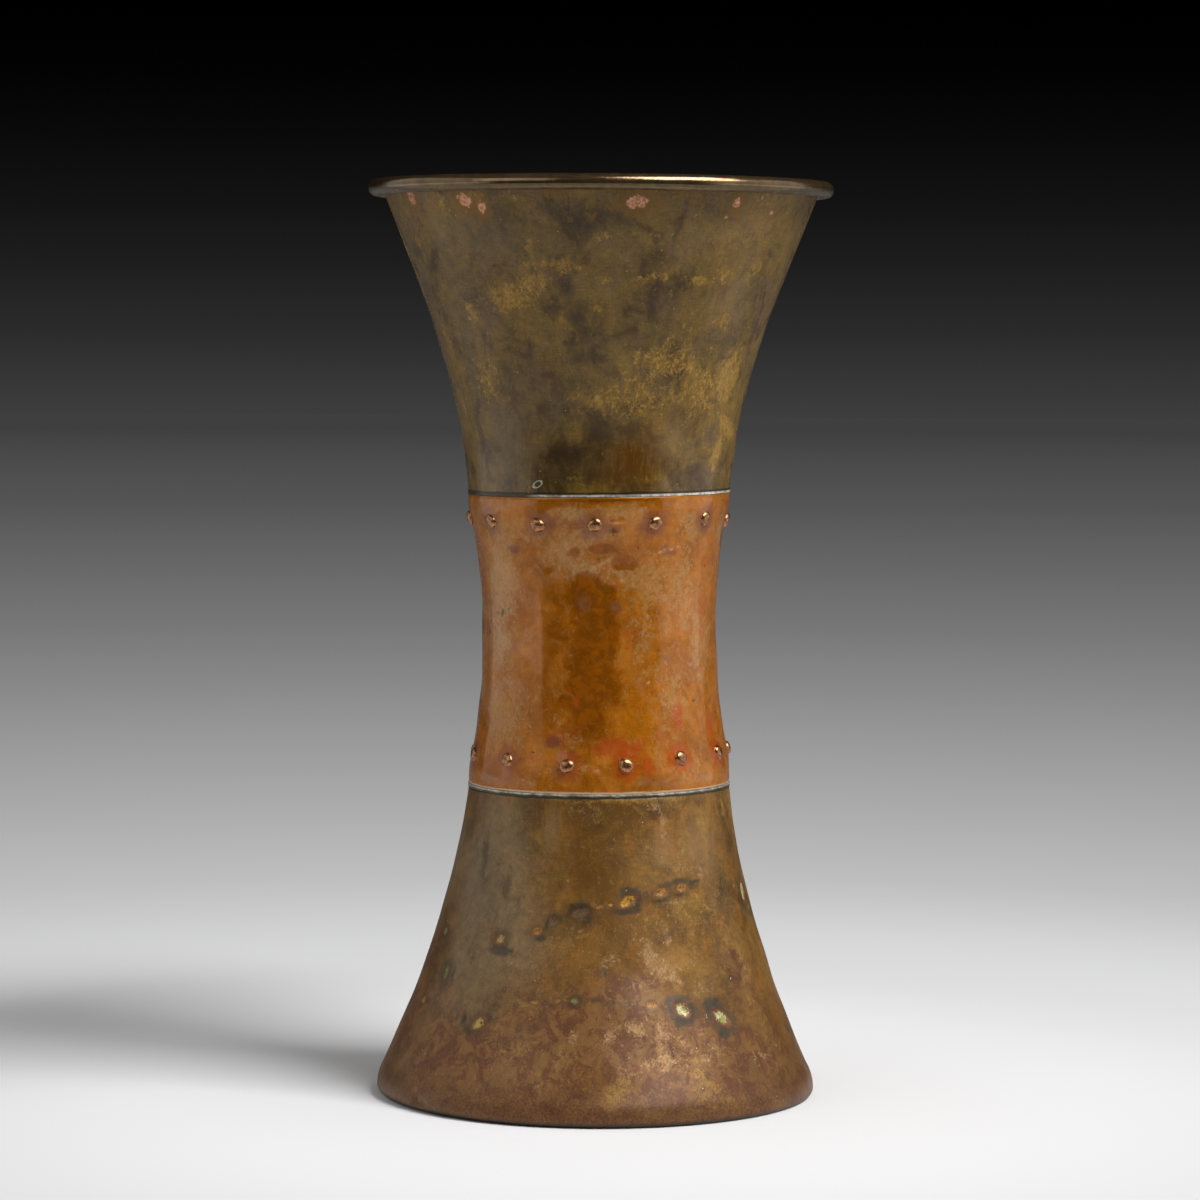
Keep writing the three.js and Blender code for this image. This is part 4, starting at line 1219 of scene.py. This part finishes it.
def rivet(name, place, seed, node):
    """A rivet hammered over a little unevenly: head, shank and peened tail"""
    rng = np.random.default_rng(seed)
    inside = -(2 * SHEET + 2 * CLEARANCE)
    dome = np.linspace(0, math.pi / 2, 11)
    tail = np.linspace(0, math.pi / 2, 5)
    squash = rng.uniform(0.9, 1.06)
    radius = np.concatenate([
        TAIL_RADIUS * np.sin(tail), [SHANK_RADIUS, SHANK_RADIUS, HEAD_RADIUS * 1.12],
        1.07 * HEAD_RADIUS * np.cos(dome) ** 0.8,
    ])
    height = np.concatenate([
        inside - TAIL_HEIGHT * np.cos(tail), [inside + 0.05, CLEARANCE - 0.1, CLEARANCE - 0.08],
        HEAD_EDGE + (HEAD_HEIGHT + CLEARANCE - HEAD_EDGE) * squash * np.sin(dome) ** 1.1,
    ])[:, None, None]
    turn = np.linspace(0, 2 * math.pi, RIVET_SIDES, endpoint=False)[None, :, None]
    lumpy = 1 + 0.05 * np.cos(2 * turn + rng.uniform(0, 6)) + 0.025 * np.cos(3 * turn + rng.uniform(0, 6))
    radius = radius[:, None, None] * lumpy
    angle, level = place
    face = float(side_radius(level) + trim(level)) + 0.05
    slope = -float(waist_face(0, level + 0.5) - waist_face(0, level - 0.5))
    out = Vector((math.sin(angle), -math.cos(angle), slope)).normalized()
    side = Vector((math.cos(angle), math.sin(angle), 0))
    up = out.cross(side).normalized()
    out, side, up = np.array(out), np.array(side), np.array(up)
    rise = float(lift(angle, level))
    seat = np.array([face * math.sin(angle) + float(lean(level)), -face * math.cos(angle), level + rise])
    points = seat + radius * (np.cos(turn) * side + np.sin(turn) * up) + height * out
    index = np.arange(len(points) * RIVET_SIDES).reshape(-1, RIVET_SIDES)
    below, above = index[:-1], index[1:]
    faces = np.stack([below, np.roll(below, -1, axis=1), np.roll(above, -1, axis=1), above], axis=2)
    mesh = mesh_from(name, points.reshape(-1, 3) * MM, faces.reshape(-1, 4), sharp=50, weld=True)
    piece(name, mesh, rivet_finish, "copper_rivet", node)


for row, places, first_seed in (("upper", UPPER_RIVETS, 901), ("lower", LOWER_RIVETS, 951)):
    for i, place in enumerate(places):
        rivet(f"rivet_{row}_{i + 1:02d}_domed", place, first_seed + i, f"rivet_{row}_{i + 1:02d}")

# Floor of the vase and the solder round it

floor_low = SHEET + CLEARANCE
disc_radii = np.append(np.linspace(0, TURN_CENTRE[0] - 0.3, 40), TURN_CENTRE[0])
count = len(disc_radii)
levels = (floor_low, floor_low + FLOOR_SHEET)
under, over = (np.stack([disc_radii, np.full(count, level)], axis=1) for level in levels)
disc = Section(np.concatenate([under[::-1], over]), np.tile([0.0, 1.0], (2 * count, 1)), np.ones(2 * count))


def disc_relief(theta, level, face):
    reach = disc.points[:, :1]
    across, along = reach * np.sin(theta), reach * np.cos(theta)
    rng = np.random.default_rng(91)
    total = np.zeros_like(across)
    waves = 30
    for _ in range(waves):
        length, heading, phase = rng.uniform(14, 50), rng.uniform(0, 2 * math.pi), rng.uniform(0, 2 * math.pi)
        total += np.cos(2 * math.pi / length * (across * math.cos(heading) + along * math.sin(heading)) + phase)
    return 0.12 * total / math.sqrt(waves / 2) * (1 - fade(reach, 56, 66))


turned_piece(
    "foot_floor_sheet", disc, floor_finish, "floor_copper", "floor_disc",
    columns=all_round(3.0), relief=disc_relief, closed=False,
)
fillet_low = SHEET + FLOOR_SHEET + 2 * CLEARANCE
fillet_rise = fillet_low + FILLET - EDGE_CENTRE[1]
wall = EDGE_CENTRE[0] + math.sqrt((FOOT_EDGE_ARC - SHEET) ** 2 - fillet_rise**2) - CLEARANCE
fillet = plain_section([(wall - FILLET, fillet_low), (wall, fillet_low), (wall, fillet_low + FILLET)], 5)


def fillet_relief(theta, level, face):
    return 0.1 * swell(theta, level, 93, 4, 1.0, FLOOR_RADIUS) - 0.1


turned_piece(
    "foot_floor_fillet", fillet, solder_finish, "solder", "floor_solder",
    columns=all_round(1.0), relief=fillet_relief, fields={"dull_and_shade": lower_dull_and_shade}, sharp=60,
)

# Stage: a pale floor that falls away into a dark backdrop

FLOOR_REACH = 12.0
# Greys of the floor by its distance from the vase, on a scale of powers of ten from 0.1 m
FLOOR_GREYS = [
    (0.0, 246), (0.19, 222), (0.30, 203), (0.39, 188), (0.47, 171), (0.54, 155), (0.61, 137),
    (0.68, 119), (0.76, 102), (0.85, 84), (0.97, 68), (1.0, 63),
]
# Greys of the backdrop by the height of the line of sight, from 0.04 below level to 0.08 above
BACKDROP_GREYS = [(0.0, 80), (0.16, 63), (0.333, 43), (0.475, 29), (0.59, 19), (0.71, 10), (0.83, 3), (0.95, 0)]
ROOM, TABLE, AMBIENT = 0.03, 0.6, 0.17
DARK_ROOM = (ROOM, ROOM, ROOM)


def reflected_in(f):
    return f.seen_by("Is Glossy Ray", "Is Transmission Ray")


corners = np.array([(-1, -1, 0), (1, -1, 0), (1, 1, 0), (-1, 1, 0)])
floor = bpy.data.objects.new("floor", mesh_from("floor", corners * FLOOR_REACH, np.array([[0, 1, 2, 3]])))
bpy.context.scene.collection.objects.link(floor)
stage = Finish(bpy.data.materials.new("pale_floor"))
floor.data.materials.append(stage.owner)
# Painted light: near the vase the pale floor is painted darker outward, and further off it glows in greys that
# fall off with distance
reach = stage.add("VectorMath", {0: stage.place}, "Value", operation="LENGTH")
decades = stage.math("DIVIDE", stage.math("LOGARITHM", reach * 10, 10), 2)
far_grey = stage.greys(decades, FLOOR_GREYS)
pale = stage.scaled(srgb(237, 237, 238), stage.step(reach, 0.13, 0.3, 1, 0.86))
stage.set(Base_Color=pale, Roughness=0.9, Specular_IOR_Level=0.1)
# What polished metal shows: a pale table that ends in front in a dark room, and the backdrop behind
angle, _ = stage.around()
reflected = reflected_in(stage)
table = stage.step(angle, 108, 126, TABLE, 0.4 * TABLE)
shown = stage.mix(stage.step(reach, 0.66, 0.72) * stage.step(angle, 60, 54), table, DARK_ROOM)
shown = stage.mix(stage.step(angle, 130, 142), shown, stage.scaled(far_grey, 0.5))
glow = stage.add("Emission", {"Color": stage.mix(reflected, far_grey, shown)})
far = stage.add("Mix", {
    "Factor": reflected, 2: stage.step(reach, 0.25, 0.6), 3: stage.step(reach, 0.14, 0.3),
})
lit = Signal(stage, stage.shader.outputs[0])
blend = stage.add("MixShader", {0: far, 1: lit, 2: glow})
stage.put(blend, stage.nodes["Material Output"].inputs["Surface"])

world = bpy.data.worlds.new("studio")
bpy.context.scene.world = world
sky = Finish(world, "Generated")
angle, height = sky.around()
rise = sky.add("MapRange", {"Value": height, "From Min": -0.04, "From Max": 0.08})
backdrop = sky.greys(rise, BACKDROP_GREYS)
room = sky.mix(sky.step(angle, 134, 142), DARK_ROOM, backdrop)
shown = sky.mix(reflected_in(sky), (AMBIENT, AMBIENT, AMBIENT), room)
sky.put(sky.mix(sky.seen_by("Is Camera Ray"), shown, backdrop), sky.nodes["Background"].inputs["Color"])

LAMP_AIM = Vector((0, 0, 0.15))


def lamp(name, azimuth, elevation, distance, width, tall, radiance):
    """A soft box that faces the vase, with the brightness of its face"""
    data = bpy.data.lights.new(name, "AREA")
    data.shape, data.size, data.size_y = "RECTANGLE", width, tall
    data.energy = radiance * math.pi * width * tall
    obj = bpy.data.objects.new(name, data)
    bpy.context.scene.collection.objects.link(obj)
    turn, rise = math.radians(azimuth), math.radians(elevation)
    way = Vector((math.sin(turn) * math.cos(rise), -math.cos(turn) * math.cos(rise), math.sin(rise)))
    obj.location = way * distance + LAMP_AIM
    obj.rotation_euler = way.to_track_quat("Z", "Y").to_euler()
    obj.visible_camera = False
    return obj


lamp("left_panel", -91, 12, 1.1, 1.66, 1.5, 0.45)
lamp("left_high_panel", -44, 30, 1.3, 0.77, 0.7, 0.85)
lamp("right_panel", 86, 12, 1.1, 1.3, 1.5, 0.55)
# The key lamp: a wide soft box for what the metal reflects, and a smaller one for light and shadow
lamp("key_reflected", 52, 50, 3.6, 2.9, 2.08, 8.6).visible_diffuse = False
lamp("key", 55, 50, 3.6, 1.65, 1.1, 23.8).visible_glossy = False

bpy.context.scene.view_settings.view_transform = "Standard"
